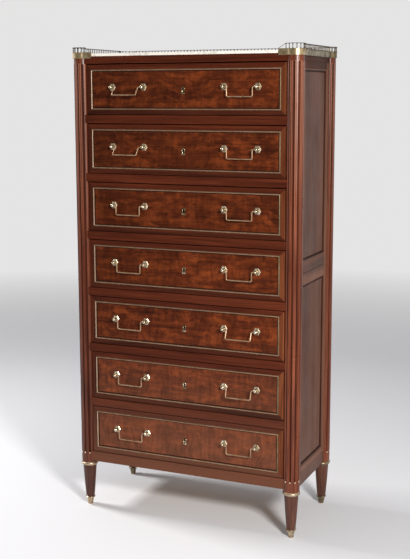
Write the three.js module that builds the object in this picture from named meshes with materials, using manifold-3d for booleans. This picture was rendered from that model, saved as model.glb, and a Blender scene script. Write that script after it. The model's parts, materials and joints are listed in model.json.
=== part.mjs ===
// A tall chest of seven equal drawers: mahogany carcase with four fluted corner posts on
// turned feet, brass mouldings, bail handles and collars, and a marble top in a brass gallery.
// Millimetres, +Z up, the front faces -Y, and the origin is under the middle of the chest.
import * as THREE from 'three';
import { mergeVertices } from 'three/addons/utils/BufferGeometryUtils.js';
import Module from 'manifold-3d';

const wasm = await Module();
wasm.setup();

// Driving sizes of the carcase
const overallHeight = 1500;
const postSpacingX = 709;
const postSpacingY = 309;
const columnRadius = 25.5;
const facePlaneOut = 13.5;
const railProud = 5;
const fitGap = 0.3;
const cutOverrun = 4;

// Heights of the frames above the floor
const baseBottom = 151.5;
const baseRailHeight = 38;
const apronRise = 6;
const boardThickness = 12;
const topFrameHeight = 22.5;
const marbleThickness = 8.5;
const carcaseRailDepth = 24;

// Drawers
const drawerCount = 7;
const dividerHeight = 25.5;
const gapUnderFront = 1;
const gapOverFront = 3;
const gapUnderSides = 0.4;
const gapBesideDrawer = 1.6;
const frontThickness = 18;
const panelRecess = 2;
const sideThickness = 9;
const sidesBelowFront = 12;
const drawerBottomThickness = 6;
const drawerBottomRaise = 8;
const spaceBehindDrawer = 12;

// Brass moulding round each drawer panel
const borderBesideMoulding = 15.8;
const borderOverMoulding = 15.5;
const mouldingWidth = 4;
const mouldingProud = 3;
const mouldingEdge = 1.5;
const mouldingBevel = 1;

// Keyhole
const keyRadius = 2.6;
const keySlotWidth = 3.2;
const keySlotLength = 9;
const keyholeAboveMiddle = 1;

// Bail handles: hexagonal rosettes, ball-headed posts and a square-cornered bail
const handleOffsetX = 188;
const handlePostSpacing = 108;
const handleAboveMiddle = 7.4;
const rosetteSides = 6;
const rosetteAcrossCorners = 28;
const rosetteThickness = 3;
const rosetteEdge = 1;
const rosetteBevel = 1.5;
const rosetteRimWidth = 3;
const rosetteDish = 1.4;
const postNeckRadius = 3.2;
const postBallRadius = 5.6;
const pivotOut = 12;
const rodRadius = 1.8;
const bailLegInset = 13;
const bailDrop = 29;
const bailCornerRadius = 4;
const stubShortOfAxis = 1.5;
// Degrees that each bail leans out from the panel, from the top drawer down: left, right
const bailLean = [[35, 0], [35, 0], [0, 0], [0, 0], [0, 22], [0, 15], [0, 0]];

// Fluted corner posts
const fluteCount = 5;
const fluteSpacing = THREE.MathUtils.degToRad(37.5);
const fluteRadius = 4.2;
const fluteCentreOut = 1.2;
const fluteBottom = 183;
const fluteTopBelowColumnTop = 22;

// Turned feet with a brass collar above and a brass sabot below
const collarHeight = 10.4;
const collarRadius = 27.8;
const collarBelowColumn = 0.3;
const columnBottom = 150.3;
const neckRadius = 16;
const footTopRadius = 22;
const footEndRadius = 14;
const footShoulder = 4;
const footShoulderRound = 2;
const footShoulderDrop = 1;
const sabotHeight = 28;
const sabotRimRadius = 16;
const sabotRimHeight = 6.5;
const sabotRimRound = 1.6;
const sabotCupRadius = 12.2;
const sabotToeRadius = 8.5;
const sabotWall = 2;
const sabotFloor = 3.7;

// Panelled sides and back
const sidePanelThickness = 18;
const stileWidth = 26.2;
const sideRailHeight = 34;
const sideEndRailHeight = 20;
const sidePanelRecess = 5;
const panelMouldingWidth = 8;
const panelMouldingHeight = 3.2;
// Its outline: shares of its width in from the edge, and of its height off the panel
const panelMouldingShares = [[0, 1], [0.25, 1.125], [0.5, 0.5], [1, 0.25]];
const jointGroove = 1.6;
const backThickness = 12;
const backInset = 8;
const backFrameWidth = 70;
const backPanelRecess = 4;

// Marble top and pierced brass gallery
const marbleCornerOver = 1;
const marbleOverFront = 2;
const marbleOverSide = 2;
const bandThickness = 2.6;
const bandBelowMarble = 6;
const bandAboveMarble = 4;
const bandFrontReach = 46;
const railThickness = 3;
const railHeight = 2.5;
const rampLength = 23;
const balusterPitch = 12;
const balusterHeight = 13;
const balusterRadius = 1.2;
const jointBite = 0.6;

// Facets
const columnSides = 32;
const turnedSides = 16;
const brassSides = 16;
const collarSteps = 5;
const fluteSides = 8;
const fluteEndRings = 3;
const ballSides = 8;
const ballSteps = 3;
const rodSides = 6;
const keySides = 10;
const balusterSides = 4;
const cornerSteps = 12;
const bendSteps = 2;

// Places worked out from the sizes
const postX = postSpacingX / 2;
const postY = postSpacingY / 2;
const facePlaneY = -(postY + facePlaneOut);
const railPlaneY = facePlaneY - railProud;
const facePlaneX = postX + facePlaneOut;
const postBlockInner = Math.sqrt(columnRadius ** 2 - facePlaneOut ** 2);
const openingHalfWidth = postX - postBlockInner;
const backPlaneY = postY + facePlaneOut - backInset;
const marbleTop = overallHeight - railHeight - balusterHeight - bandAboveMarble;
const columnTop = marbleTop - marbleThickness;
const topFrameBottom = columnTop - topFrameHeight;
const baseTop = baseBottom + baseRailHeight;
const drawerPitch = (topFrameBottom - baseTop + dividerHeight) / drawerCount;
const frontHeight = drawerPitch - dividerHeight - gapUnderFront - gapOverFront;
const frontHalfWidth = openingHalfWidth - gapBesideDrawer;
const drawerBack = backPlaneY - backThickness - spaceBehindDrawer;
const mouldingHalfWidth = frontHalfWidth - borderBesideMoulding;
const mouldingHalfHeight = frontHeight / 2 - borderOverMoulding;
const panelPlaneY = facePlaneY + panelRecess;
const pivotY = panelPlaneY - pivotOut;

// Shapes into solids and back
function outward(geometry) {
  const position = geometry.getAttribute('position');
  const index = geometry.getIndex();
  const corners = [new THREE.Vector3(), new THREE.Vector3(), new THREE.Vector3()];
  let volume = 0;
  for (let i = 0; i < index.count; i += 3) {
    corners.forEach((corner, k) => corner.fromBufferAttribute(position, index.getX(i + k)));
    volume += corners[0].dot(corners[1].clone().cross(corners[2]));
  }
  if (volume < 0) {
    for (let i = 0; i < index.count; i += 3) {
      const second = index.getX(i + 1);
      index.setX(i + 1, index.getX(i + 2));
      index.setX(i + 2, second);
    }
  }
  return geometry;
}

function toSolid(source) {
  const bare = source.clone();
  bare.deleteAttribute('normal');
  bare.deleteAttribute('uv');
  const merged = outward(mergeVertices(bare));
  return new wasm.Manifold(new wasm.Mesh({
    numProp: 3,
    vertProperties: new Float32Array(merged.getAttribute('position').array),
    triVerts: new Uint32Array(merged.getIndex().array),
  }));
}

function toGeometry(solid) {
  const mesh = solid.getMesh();
  const geometry = new THREE.BufferGeometry();
  geometry.setAttribute('position', new THREE.BufferAttribute(mesh.vertProperties, mesh.numProp));
  geometry.setIndex(new THREE.BufferAttribute(mesh.triVerts, 1));
  geometry.computeVertexNormals();
  return geometry;
}

function joined(solids) {
  return solids.reduce((whole, piece) => whole.add(piece));
}

function box(x, y, z) {
  const geometry = new THREE.BoxGeometry(x[1] - x[0], y[1] - y[0], z[1] - z[0]);
  geometry.translate((x[0] + x[1]) / 2, (y[0] + y[1]) / 2, (z[0] + z[1]) / 2);
  return toSolid(geometry);
}

// An outline of [x, y] points raised from one height to another
function prism(points, bottom, top) {
  const shape = new THREE.Shape(points.map(([x, y]) => new THREE.Vector2(x, y)));
  const geometry = new THREE.ExtrudeGeometry(shape, { depth: top - bottom, bevelEnabled: false });
  geometry.translate(0, 0, bottom);
  return toSolid(geometry);
}

// A profile of [radius, height] points turned about Z
function turned(profile, sides) {
  const points = profile.map(([radius, height]) => new THREE.Vector2(radius, height));
  const geometry = new THREE.LatheGeometry(points, sides);
  geometry.rotateX(Math.PI / 2);
  return toSolid(geometry);
}

function arc(centre, radius, from, to, steps) {
  return Array.from({ length: steps + 1 }, (_, i) => {
    const angle = from + ((to - from) * i) / steps;
    return [centre[0] + radius * Math.cos(angle), centre[1] + radius * Math.sin(angle)];
  });
}

// Closed rings of points, each joined to the next, and either capped or joined end to start
function skinned(rings, closed) {
  const count = rings[0].length;
  const positions = rings.flat(2);
  const triangles = [];
  const last = closed ? rings.length : rings.length - 1;
  for (let r = 0; r < last; r += 1) {
    const here = r * count;
    const next = ((r + 1) % rings.length) * count;
    for (let i = 0; i < count; i += 1) {
      const j = (i + 1) % count;
      triangles.push(here + i, here + j, next + j, here + i, next + j, next + i);
    }
  }
  if (!closed) {
    const end = (rings.length - 1) * count;
    for (let i = 1; i < count - 1; i += 1) {
      triangles.push(0, i + 1, i, end, end + i, end + i + 1);
    }
  }
  const geometry = new THREE.BufferGeometry();
  geometry.setAttribute('position', new THREE.Float32BufferAttribute(positions, 3));
  geometry.setIndex(triangles);
  return toSolid(outward(geometry));
}

// A rectangular frame, mitred at its corners, lying in XZ and standing out along -Y.
// The profile's points are [inset from the outer edge, height off the face].
function mitredFrame(halfWidth, halfHeight, profile) {
  const rings = profile.map(([inset, height]) => {
    const x = halfWidth - inset;
    const z = halfHeight - inset;
    return [[-x, -height, -z], [x, -height, -z], [x, -height, z], [-x, -height, z]];
  });
  return skinned(rings, true);
}

const cabinet = new THREE.Group();
cabinet.name = 'semainier';

function add(parent, name, solid, material) {
  const mesh = new THREE.Mesh(toGeometry(solid), material);
  mesh.name = name;
  parent.add(mesh);
  return mesh;
}

// Materials
const mahogany = new THREE.MeshStandardMaterial({ color: 0x5a2413, roughness: 0.35, metalness: 0 });
const flameMahogany = new THREE.MeshStandardMaterial({ color: 0x6b2a15, roughness: 0.3, metalness: 0 });
const sideMahogany = new THREE.MeshStandardMaterial({ color: 0x4f3025, roughness: 0.4, metalness: 0 });
const oak = new THREE.MeshStandardMaterial({ color: 0xa5814f, roughness: 0.75, metalness: 0 });
const brass = new THREE.MeshStandardMaterial({ color: 0xb59a63, roughness: 0.35, metalness: 1 });
const marble = new THREE.MeshStandardMaterial({ color: 0xefe7da, roughness: 0.25, metalness: 0 });

// Corner posts: a three-quarter round fluted column, squared on its inner side, over a turned foot.
// This is the front right post, about its own axis: +X and -Y are its outer sides.
function postSection(grow, bottom, top) {
  const radius = columnRadius + grow;
  const inner = postBlockInner + grow;
  const flat = facePlaneOut + grow;
  const round = turned([[0, bottom], [radius, bottom], [radius, top], [0, top]], columnSides);
  const squared = box([-inner, radius], [-radius, inner], [bottom, top]);
  return round.intersect(squared).add(box([-inner, flat], [-flat, inner], [bottom, top]));
}

function flute(angle) {
  const top = columnTop - fluteTopBelowColumnTop;
  const roundEnd = (z, from, to) => arc([0, z], fluteRadius, from, to, fluteEndRings);
  const profile = [
    ...roundEnd(fluteBottom + fluteRadius, -Math.PI / 2, 0),
    ...roundEnd(top - fluteRadius, 0, Math.PI / 2),
  ];
  profile[0][0] = 0;
  profile[profile.length - 1][0] = 0;
  const out = columnRadius + fluteCentreOut;
  return turned(profile, fluteSides).translate([out * Math.cos(angle), out * Math.sin(angle), 0]);
}

function cornerPost() {
  const column = postSection(0, columnBottom, columnTop);
  const footTop = columnBottom - collarHeight - 2 * collarBelowColumn;
  const footBottom = sabotHeight + fitGap;
  const tenonTop = sabotHeight - sabotRimHeight;
  const foot = turned([
    [0, sabotFloor + fitGap],
    [sabotToeRadius - sabotWall, sabotFloor + fitGap],
    [sabotCupRadius - sabotWall, tenonTop],
    [sabotCupRadius - sabotWall, footBottom],
    [footEndRadius, footBottom],
    [footTopRadius, footTop - footShoulder],
    [footTopRadius - footShoulderRound, footTop - footShoulderDrop],
    [neckRadius, footTop],
    [neckRadius, columnBottom + jointBite],
    [0, columnBottom + jointBite],
  ], turnedSides);
  const middle = -Math.PI / 4;
  const flutes = Array.from({ length: fluteCount }, (_, i) => {
    return flute(middle + (i - (fluteCount - 1) / 2) * fluteSpacing);
  });
  return flutes.reduce((post, cut) => post.subtract(cut), column.add(foot));
}

function collar() {
  const top = columnBottom - collarBelowColumn;
  const half = collarHeight / 2;
  const bore = neckRadius + fitGap;
  const bead = arc([collarRadius - half, top - half], half, -Math.PI / 2, Math.PI / 2, collarSteps);
  return turned([[bore, top - collarHeight], ...bead, [bore, top], [bore, top - collarHeight]], brassSides);
}

function sabot() {
  const rimBottom = sabotHeight - sabotRimHeight;
  const bore = sabotCupRadius - sabotWall + fitGap;
  return turned([
    [0, 0],
    [sabotToeRadius, 0],
    [sabotCupRadius, rimBottom - sabotRimRound],
    [sabotRimRadius - sabotRimRound, rimBottom],
    [sabotRimRadius, rimBottom + sabotRimRound],
    [sabotRimRadius, sabotHeight - sabotRimRound],
    [sabotRimRadius - sabotRimRound, sabotHeight],
    [bore, sabotHeight],
    [bore, rimBottom],
    [sabotToeRadius - sabotWall + fitGap, sabotFloor],
    [0, sabotFloor],
  ], brassSides);
}

const corners = [
  { name: 'front_right', x: 1, y: 1 },
  { name: 'front_left', x: -1, y: 1 },
  { name: 'back_right', x: 1, y: -1 },
  { name: 'back_left', x: -1, y: -1 },
];

// A solid made for the front right post, turned over to the corner that is asked for
function atCorner(solid, corner) {
  const faced = solid.transform([corner.x, 0, 0, 0, 0, corner.y, 0, 0, 0, 0, 1, 0, 0, 0, 0, 1]);
  return faced.translate([corner.x * postX, -corner.y * postY, 0]);
}

const post = cornerPost();
const collarRing = collar();
const sabotShoe = sabot();
for (const corner of corners) {
  add(cabinet, `post_${corner.name}`, atCorner(post, corner), mahogany);
  add(cabinet, `collar_${corner.name}`, atCorner(collarRing, corner), brass);
  add(cabinet, `sabot_${corner.name}`, atCorner(sabotShoe, corner), brass);
}

const clearSection = postSection(fitGap, columnBottom - cutOverrun, columnTop + cutOverrun);
const postClearance = joined(corners.map((corner) => atCorner(clearSection, corner)));

// The base and the top of the carcase: rails round four sides with a board across the top
function ringFrame(bottom, top) {
  const outer = box([-facePlaneX, facePlaneX], [railPlaneY, backPlaneY], [bottom, top]);
  const hollow = box(
    [-facePlaneX + carcaseRailDepth, facePlaneX - carcaseRailDepth],
    [railPlaneY + carcaseRailDepth, backPlaneY - carcaseRailDepth],
    [bottom - cutOverrun, top - boardThickness],
  );
  return outer.subtract(hollow).subtract(postClearance);
}

// The front rail of the base stops higher than the others
const underApron = box([-postX, postX], [railPlaneY - cutOverrun, railPlaneY + carcaseRailDepth + cutOverrun],
  [baseBottom - cutOverrun, baseBottom + apronRise]);
add(cabinet, 'base_frame', ringFrame(baseBottom, baseTop).subtract(underApron), mahogany);
add(cabinet, 'top_frame', ringFrame(topFrameBottom, columnTop), mahogany);

// Drawer dividers: a front rail with a dust board that carries the drawer above
const dividerBack = backPlaneY - backThickness - fitGap;
const dividerHalfWidth = facePlaneX - sidePanelThickness - fitGap;
for (let i = 1; i < drawerCount; i += 1) {
  const top = baseTop + i * drawerPitch;
  const rail = box([-postX, postX], [railPlaneY, railPlaneY + carcaseRailDepth], [top - dividerHeight, top]);
  const board = box([-dividerHalfWidth, dividerHalfWidth], [railPlaneY + carcaseRailDepth - jointBite,
    dividerBack], [top - boardThickness, top]);
  add(cabinet, `divider_${drawerCount - i}`, joined([rail, board]).subtract(postClearance), mahogany);
}

// Panelled sides: stiles and rails round an upper and a lower panel, with a moulding in each.
// The two rails in the middle are wider than those at the ends.
function panelledSide() {
  const halfDepth = postY - postBlockInner - fitGap;
  const middle = (baseTop + topFrameBottom) / 2;
  const panelHalfWidth = halfDepth - stileWidth;
  const openings = [
    [baseTop + sideEndRailHeight, middle - sideRailHeight],
    [middle + sideRailHeight, topFrameBottom - sideEndRailHeight],
  ];
  const outline = panelMouldingShares.map(([across, up]) => {
    return [across * panelMouldingWidth, up * panelMouldingHeight];
  });
  let side = box([-halfDepth, halfDepth], [0, sidePanelThickness], [baseTop, topFrameBottom]);
  side = side.subtract(box([-halfDepth - cutOverrun, halfDepth + cutOverrun], [-cutOverrun, jointGroove],
    [middle - jointGroove / 2, middle + jointGroove / 2]));
  for (const z of openings) {
    side = side.subtract(box([-panelHalfWidth, panelHalfWidth], [-cutOverrun, sidePanelRecess], z));
    const halfHeight = (z[1] - z[0]) / 2;
    const moulding = mitredFrame(panelHalfWidth + jointBite, halfHeight + jointBite, [
      [0, -jointBite],
      ...outline,
      [panelMouldingWidth, -jointBite],
    ]);
    side = side.add(moulding.translate([0, sidePanelRecess, (z[0] + z[1]) / 2]));
  }
  return side;
}
const side = panelledSide();
for (const [name, direction] of [['side_right', 1], ['side_left', -1]]) {
  const turnedSide = side.rotate([0, 0, direction * 90]);
  add(cabinet, name, turnedSide.translate([direction * facePlaneX, 0, 0]), sideMahogany);
}

// Back: a framed panel in the secondary wood
function backPanel() {
  const y = [backPlaneY - backThickness, backPlaneY];
  let back = box([-openingHalfWidth + fitGap, openingHalfWidth - fitGap], y, [baseTop, topFrameBottom]);
  const middle = (baseTop + topFrameBottom) / 2;
  const edge = openingHalfWidth - backFrameWidth;
  for (const z of [[baseTop + backFrameWidth, middle - backFrameWidth / 2],
    [middle + backFrameWidth / 2, topFrameBottom - backFrameWidth]]) {
    back = back.subtract(box([-edge, edge], [backPlaneY - backPanelRecess, backPlaneY + cutOverrun], z));
  }
  return back;
}
add(cabinet, 'back_panel', backPanel(), oak);

// Marble top: straight edges, with a round corner over each post
const marbleCorner = columnRadius + marbleCornerOver;
const marbleFrontOut = -railPlaneY + marbleOverFront - postY;
const marbleSideOut = facePlaneOut + marbleOverSide;

// The round corner over a post, from its front or back edge round to its side edge. Grown lines
// keep the angles of the plain one between their ends, so that they stay parallel to it.
function cornerArc(corner, grow) {
  const edgeOut = corner.y > 0 ? marbleFrontOut : marbleSideOut;
  const ends = (extra) => [
    -Math.PI / 2 - Math.acos((edgeOut + extra) / (marbleCorner + extra)),
    Math.acos((marbleSideOut + extra) / (marbleCorner + extra)),
  ];
  const local = arc([0, 0], marbleCorner + grow, ...ends(0), cornerSteps);
  const [first, last] = ends(grow).map((angle) => arc([0, 0], marbleCorner + grow, angle, angle, 1)[0]);
  local[0] = first;
  local[cornerSteps] = last;
  return local.map(([x, y]) => [corner.x * (postX + x), corner.y * (y - postY)]);
}
const [frontRight, frontLeft, backRight, backLeft] = corners;

function marbleOutline(grow) {
  return [
    ...cornerArc(frontRight, grow),
    ...cornerArc(backRight, grow).reverse(),
    ...cornerArc(backLeft, grow),
    ...cornerArc(frontLeft, grow).reverse(),
  ];
}
add(cabinet, 'marble_top', prism(marbleOutline(0), columnTop, marbleTop), marble);

// The line of the gallery, from its front left end round the back to its front right end
function galleryLine(grow, frontReach) {
  const frontY = -postY - marbleFrontOut - grow;
  const endX = postX - frontReach;
  return [
    [-endX, frontY],
    ...cornerArc(frontLeft, grow),
    ...cornerArc(backLeft, grow).reverse(),
    ...cornerArc(backRight, grow),
    ...cornerArc(frontRight, grow).reverse(),
    [endX, frontY],
  ];
}

function strip(inner, outer, frontReach, bottom, top) {
  return prism([...galleryLine(outer, frontReach), ...galleryLine(inner, frontReach).reverse()], bottom, top);
}

function evenPoints(line, pitch) {
  const path = new THREE.CurvePath();
  for (let i = 1; i < line.length; i += 1) {
    path.add(new THREE.LineCurve(new THREE.Vector2(...line[i - 1]), new THREE.Vector2(...line[i])));
  }
  const count = Math.round(path.getLength() / pitch);
  return Array.from({ length: count + 1 }, (_, i) => path.getPointAt(i / count));
}

function gallery() {
  const bandBottom = columnTop - bandBelowMarble;
  const bandTop = marbleTop + bandAboveMarble;
  const railBottom = overallHeight - railHeight;
  const inner = fitGap;
  const outer = fitGap + bandThickness;
  const middle = (inner + outer) / 2;
  const railEdge = railThickness / 2;
  const railReach = bandFrontReach - rampLength;
  const pieces = [
    strip(inner, outer, bandFrontReach, bandBottom, bandTop),
    strip(middle - railEdge, middle + railEdge, railReach, railBottom, overallHeight),
  ];
  const frontY = -postY - marbleFrontOut - middle;
  for (const direction of [-1, 1]) {
    const lowX = postX - bandFrontReach;
    const highX = postX - railReach;
    const ramp = prism([
      [lowX, bandTop - jointBite],
      [lowX + railHeight, bandTop - jointBite],
      [highX + jointBite, railBottom],
      [highX + jointBite, overallHeight],
      [highX, overallHeight],
    ], -railEdge, railEdge).rotate([90, 0, 0]);
    const facing = direction > 0 ? ramp : ramp.mirror([1, 0, 0]);
    pieces.push(facing.translate([0, frontY, 0]));
  }
  const baluster = new THREE.CylinderGeometry(
    balusterRadius, balusterRadius, railBottom - bandTop + 2 * jointBite, balusterSides);
  baluster.rotateX(Math.PI / 2);
  baluster.translate(0, 0, (railBottom + bandTop) / 2);
  const rod = toSolid(baluster);
  for (const point of evenPoints(galleryLine(middle, railReach), balusterPitch)) {
    pieces.push(rod.translate([point.x, point.y, 0]));
  }
  return joined(pieces);
}
add(cabinet, 'gallery', gallery(), brass);

// One handle post: hexagonal dished rosette, neck and ball, standing out along +Z from its foot
function handlePost() {
  const rimRadius = rosetteAcrossCorners / 2;
  const dishFloor = rosetteThickness - rosetteDish;
  const plate = turned([
    [0, -jointBite],
    [rimRadius, -jointBite],
    [rimRadius, rosetteEdge],
    [rimRadius - rosetteBevel, rosetteThickness],
    [rimRadius - rosetteRimWidth, rosetteThickness],
    [rimRadius - rosetteRimWidth - rosetteDish, dishFloor],
    [0, dishFloor],
  ], rosetteSides).rotate([0, 0, 90]);
  const ballStart = -Math.acos(postNeckRadius / postBallRadius);
  const ball = arc([0, pivotOut], postBallRadius, ballStart, Math.PI / 2, ballSteps);
  ball[ball.length - 1][0] = 0;
  const stem = turned([
    [0, dishFloor - jointBite],
    [postNeckRadius, dishFloor - jointBite],
    ...ball,
  ], ballSides);
  return plate.add(stem);
}

// The hole in a ball for the end of a bail, from the side that faces the other post
function pivotHole(direction) {
  const radius = (rodRadius + fitGap) / Math.cos(Math.PI / rodSides);
  const depth = postBallRadius + cutOverrun;
  const hole = new THREE.CylinderGeometry(radius, radius, depth, rodSides);
  hole.rotateZ(Math.PI / 2);
  hole.translate(direction * (depth / 2 + stubShortOfAxis - fitGap), 0, pivotOut);
  return toSolid(hole);
}

const plainPost = handlePost();
const postFacingRight = plainPost.subtract(pivotHole(1));
const postFacingLeft = plainPost.subtract(pivotHole(-1));

function keyhole() {
  const eye = new THREE.CylinderGeometry(keyRadius, keyRadius, frontThickness + 2 * cutOverrun, keySides);
  eye.translate(0, facePlaneY + frontThickness / 2, 0);
  const slot = box([-keySlotWidth / 2, keySlotWidth / 2],
    [facePlaneY - cutOverrun, facePlaneY + frontThickness + cutOverrun], [-keySlotLength, 0]);
  return toSolid(eye).add(slot);
}

// Drawer front, about the middle of its height: border, recessed panel, keyhole and handle posts
function drawerFront() {
  const half = frontHeight / 2;
  const panelX = mouldingHalfWidth - mouldingWidth;
  const panelZ = mouldingHalfHeight - mouldingWidth;
  let front = box([-frontHalfWidth, frontHalfWidth], [facePlaneY, facePlaneY + frontThickness], [-half, half]);
  front = front.subtract(box([-panelX, panelX], [facePlaneY - cutOverrun, panelPlaneY], [-panelZ, panelZ]));
  front = front.subtract(keyhole().translate([0, 0, keyholeAboveMiddle]));
  for (const centre of [-handleOffsetX, handleOffsetX]) {
    for (const [end, solid] of [[-1, postFacingRight], [1, postFacingLeft]]) {
      const x = centre + (end * handlePostSpacing) / 2;
      front = front.add(solid.rotate([90, 0, 0]).translate([x, panelPlaneY, handleAboveMiddle]));
    }
  }
  return front;
}

// Drawer box behind the front: two sides and a back round a raised bottom
function drawerBox() {
  const low = -frontHeight / 2 - gapUnderFront + gapUnderSides;
  const high = frontHeight / 2 - sidesBelowFront;
  const y = [facePlaneY + frontThickness, drawerBack];
  const inner = frontHalfWidth - sideThickness;
  const floor = low + drawerBottomRaise;
  const outerBox = box([-frontHalfWidth, frontHalfWidth], y, [low, high]);
  const inside = box([-inner, inner], [y[0] - cutOverrun, y[1] - sideThickness],
    [floor + drawerBottomThickness, high + cutOverrun]);
  const underside = box([-inner, inner], [y[0] - cutOverrun, y[1] - sideThickness], [low - cutOverrun, floor]);
  return outerBox.subtract(inside).subtract(underside);
}

function drawerMoulding() {
  return mitredFrame(mouldingHalfWidth, mouldingHalfHeight, [
    [0, 0],
    [0, mouldingEdge],
    [mouldingBevel, mouldingProud],
    [mouldingWidth - mouldingBevel, mouldingProud],
    [mouldingWidth, mouldingEdge],
    [mouldingWidth, 0],
  ]).translate([0, facePlaneY, 0]);
}

// A bail about its pivot line: two stubs, two legs and a bar, hanging in XZ
function bail() {
  const stubX = handlePostSpacing / 2 - stubShortOfAxis;
  const legX = handlePostSpacing / 2 - bailLegInset;
  const bend = bailCornerRadius;
  const quarter = Math.PI / 2;
  const right = [
    ...arc([legX - bend, -bailDrop + bend], bend, -quarter, 0, bendSteps),
    ...arc([legX + bend, -bend], bend, Math.PI, quarter, bendSteps),
    [stubX, 0],
  ];
  const left = right.map(([x, z]) => [-x, z]).reverse();
  const line = [...left, ...right].map(([x, z]) => new THREE.Vector3(x, 0, z));
  const across = new THREE.Vector3(0, 1, 0);
  const rings = line.map((point, i) => {
    const before = line[Math.max(i - 1, 0)];
    const after = line[Math.min(i + 1, line.length - 1)];
    const normal = after.clone().sub(before).normalize().cross(across);
    return Array.from({ length: rodSides }, (_, k) => {
      const angle = (2 * Math.PI * (k + 1 / 2)) / rodSides;
      const corner = point.clone();
      corner.addScaledVector(normal, rodRadius * Math.cos(angle));
      corner.addScaledVector(across, rodRadius * Math.sin(angle));
      return corner.toArray();
    });
  });
  return skinned(rings, false);
}

const front = drawerFront();
const drawer = drawerBox();
const moulding = drawerMoulding();
const bailRod = bail();
for (let i = 0; i < drawerCount; i += 1) {
  const number = i + 1;
  const group = new THREE.Group();
  group.position.z = topFrameBottom - gapOverFront - frontHeight / 2 - i * drawerPitch;
  cabinet.add(group);
  add(group, `drawer_${number}_front`, front, flameMahogany);
  add(group, `drawer_${number}_box`, drawer, oak);
  add(group, `drawer_${number}_moulding`, moulding, brass);
  for (const [k, end] of ['left', 'right'].entries()) {
    const mesh = add(group, `drawer_${number}_bail_${end}`, bailRod, brass);
    mesh.position.set((2 * k - 1) * handleOffsetX, pivotY, handleAboveMiddle);
    mesh.rotation.x = -THREE.MathUtils.degToRad(bailLean[i][k]);
  }
}

// The origin goes under the middle of the whole chest, bails included
cabinet.updateMatrixWorld(true);
const bounds = new THREE.Box3().setFromObject(cabinet, true);
cabinet.position.y = -(bounds.min.y + bounds.max.y) / 2;

export default cabinet;
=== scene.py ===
import json
import math
from functools import partial

import bmesh
import bpy
from mathutils import Matrix, Vector


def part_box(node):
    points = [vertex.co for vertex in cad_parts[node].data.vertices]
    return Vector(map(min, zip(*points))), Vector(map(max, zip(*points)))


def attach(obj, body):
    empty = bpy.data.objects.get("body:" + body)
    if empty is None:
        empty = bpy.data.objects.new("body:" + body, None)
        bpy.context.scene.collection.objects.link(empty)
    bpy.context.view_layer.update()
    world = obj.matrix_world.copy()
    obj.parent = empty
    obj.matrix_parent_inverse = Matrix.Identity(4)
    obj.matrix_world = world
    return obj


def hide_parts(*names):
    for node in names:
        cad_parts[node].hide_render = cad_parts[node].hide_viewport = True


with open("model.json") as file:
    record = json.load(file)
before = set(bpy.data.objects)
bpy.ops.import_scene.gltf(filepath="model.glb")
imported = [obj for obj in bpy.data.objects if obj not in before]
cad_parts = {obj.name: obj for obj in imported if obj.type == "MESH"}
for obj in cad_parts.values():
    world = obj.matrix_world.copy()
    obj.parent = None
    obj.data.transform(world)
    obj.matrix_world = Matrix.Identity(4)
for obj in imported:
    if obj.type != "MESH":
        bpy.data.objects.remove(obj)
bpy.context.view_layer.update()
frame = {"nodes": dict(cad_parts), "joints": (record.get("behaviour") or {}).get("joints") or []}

# A tall mahogany chest of seven drawers with fluted corner columns, brass fittings and a
# marble top in a pierced gallery. Metres, +Z up, the front faces -Y.

# Corner columns, feet and their brass
FLUTE_COUNT = 5
FLUTE_SPACING = math.radians(37.5)
FLUTE_RADIUS = 0.0042
FLUTE_CENTRE_OUT = 0.0006
FLUTE_BOTTOM = 0.183
FLUTE_TOP_DROP = 0.022
FLUTE_CLOSED_HALF = math.radians(0.6)
TIP_RADIUS = 0.0024
TIP_SUNK = 0.0012
SCRIBE_GAP = 0.0002
COLLAR_BORE = 0.0163
COLLAR_HEIGHT = 0.0104
COLLAR_BEAD = 0.004
COLLAR_FILLET_OUT = 0.0252
COLLAR_GAP = 0.0003
FOOT_TOP = 0.022
FOOT_END = 0.014
FOOT_SHOULDER = 0.004
FOOT_NECK = 0.016
FOOT_SWELL = 0.0005
SABOT_HEIGHT = 0.028
SABOT_RIM = 0.016
SABOT_RIM_HEIGHT = 0.0065
SABOT_CUP = 0.0124
SABOT_TOE = 0.0085
SABOT_BORE = 0.0102
SABOT_FLOOR = 0.0037
SABOT_FLUTES = 12
SABOT_FLUTE_STEPS = 8
# How fast a sabot's flutes deepen from their ends
SABOT_FLUTE_ENDS = 2
SABOT_FLUTE_DEPTH = 0.0009
TENON_TOE = 0.0062
TENON_GAP = 0.0003

# Rails, boards and panels
RAIL_DEPTH = 0.024
APRON_RISE = 0.006
BOARD_THICKNESS = 0.012
EASE = 0.0011
FINE_EASE = 0.0005
JOINT_GAP = 0.0003
STILE = 0.0262
SIDE_MIDDLE_RAIL = 0.034
SIDE_END_RAIL = 0.02
SIDE_RECESS = 0.005
SIDE_MOULDING_WIDTH = 0.008
SIDE_MOULDING_RISE = 0.0036
# Shares of the side moulding's width and rise
SIDE_HOLLOW_START_SHARE = 0.4
SIDE_HOLLOW_RISE_SHARE = 0.86
SIDE_FILLET_RINGS = 3
SIDE_FIELD_DROP = 0.0028
SIDE_FIELD_MARGIN = 0.0025
SIDE_PANEL_BACK = 0.007
SIDE_JOINT_BEHIND_MIDDLE = 0.022
BACK_FRAME = 0.07
BACK_RECESS = 0.004
BACK_BOARDS = 3

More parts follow.
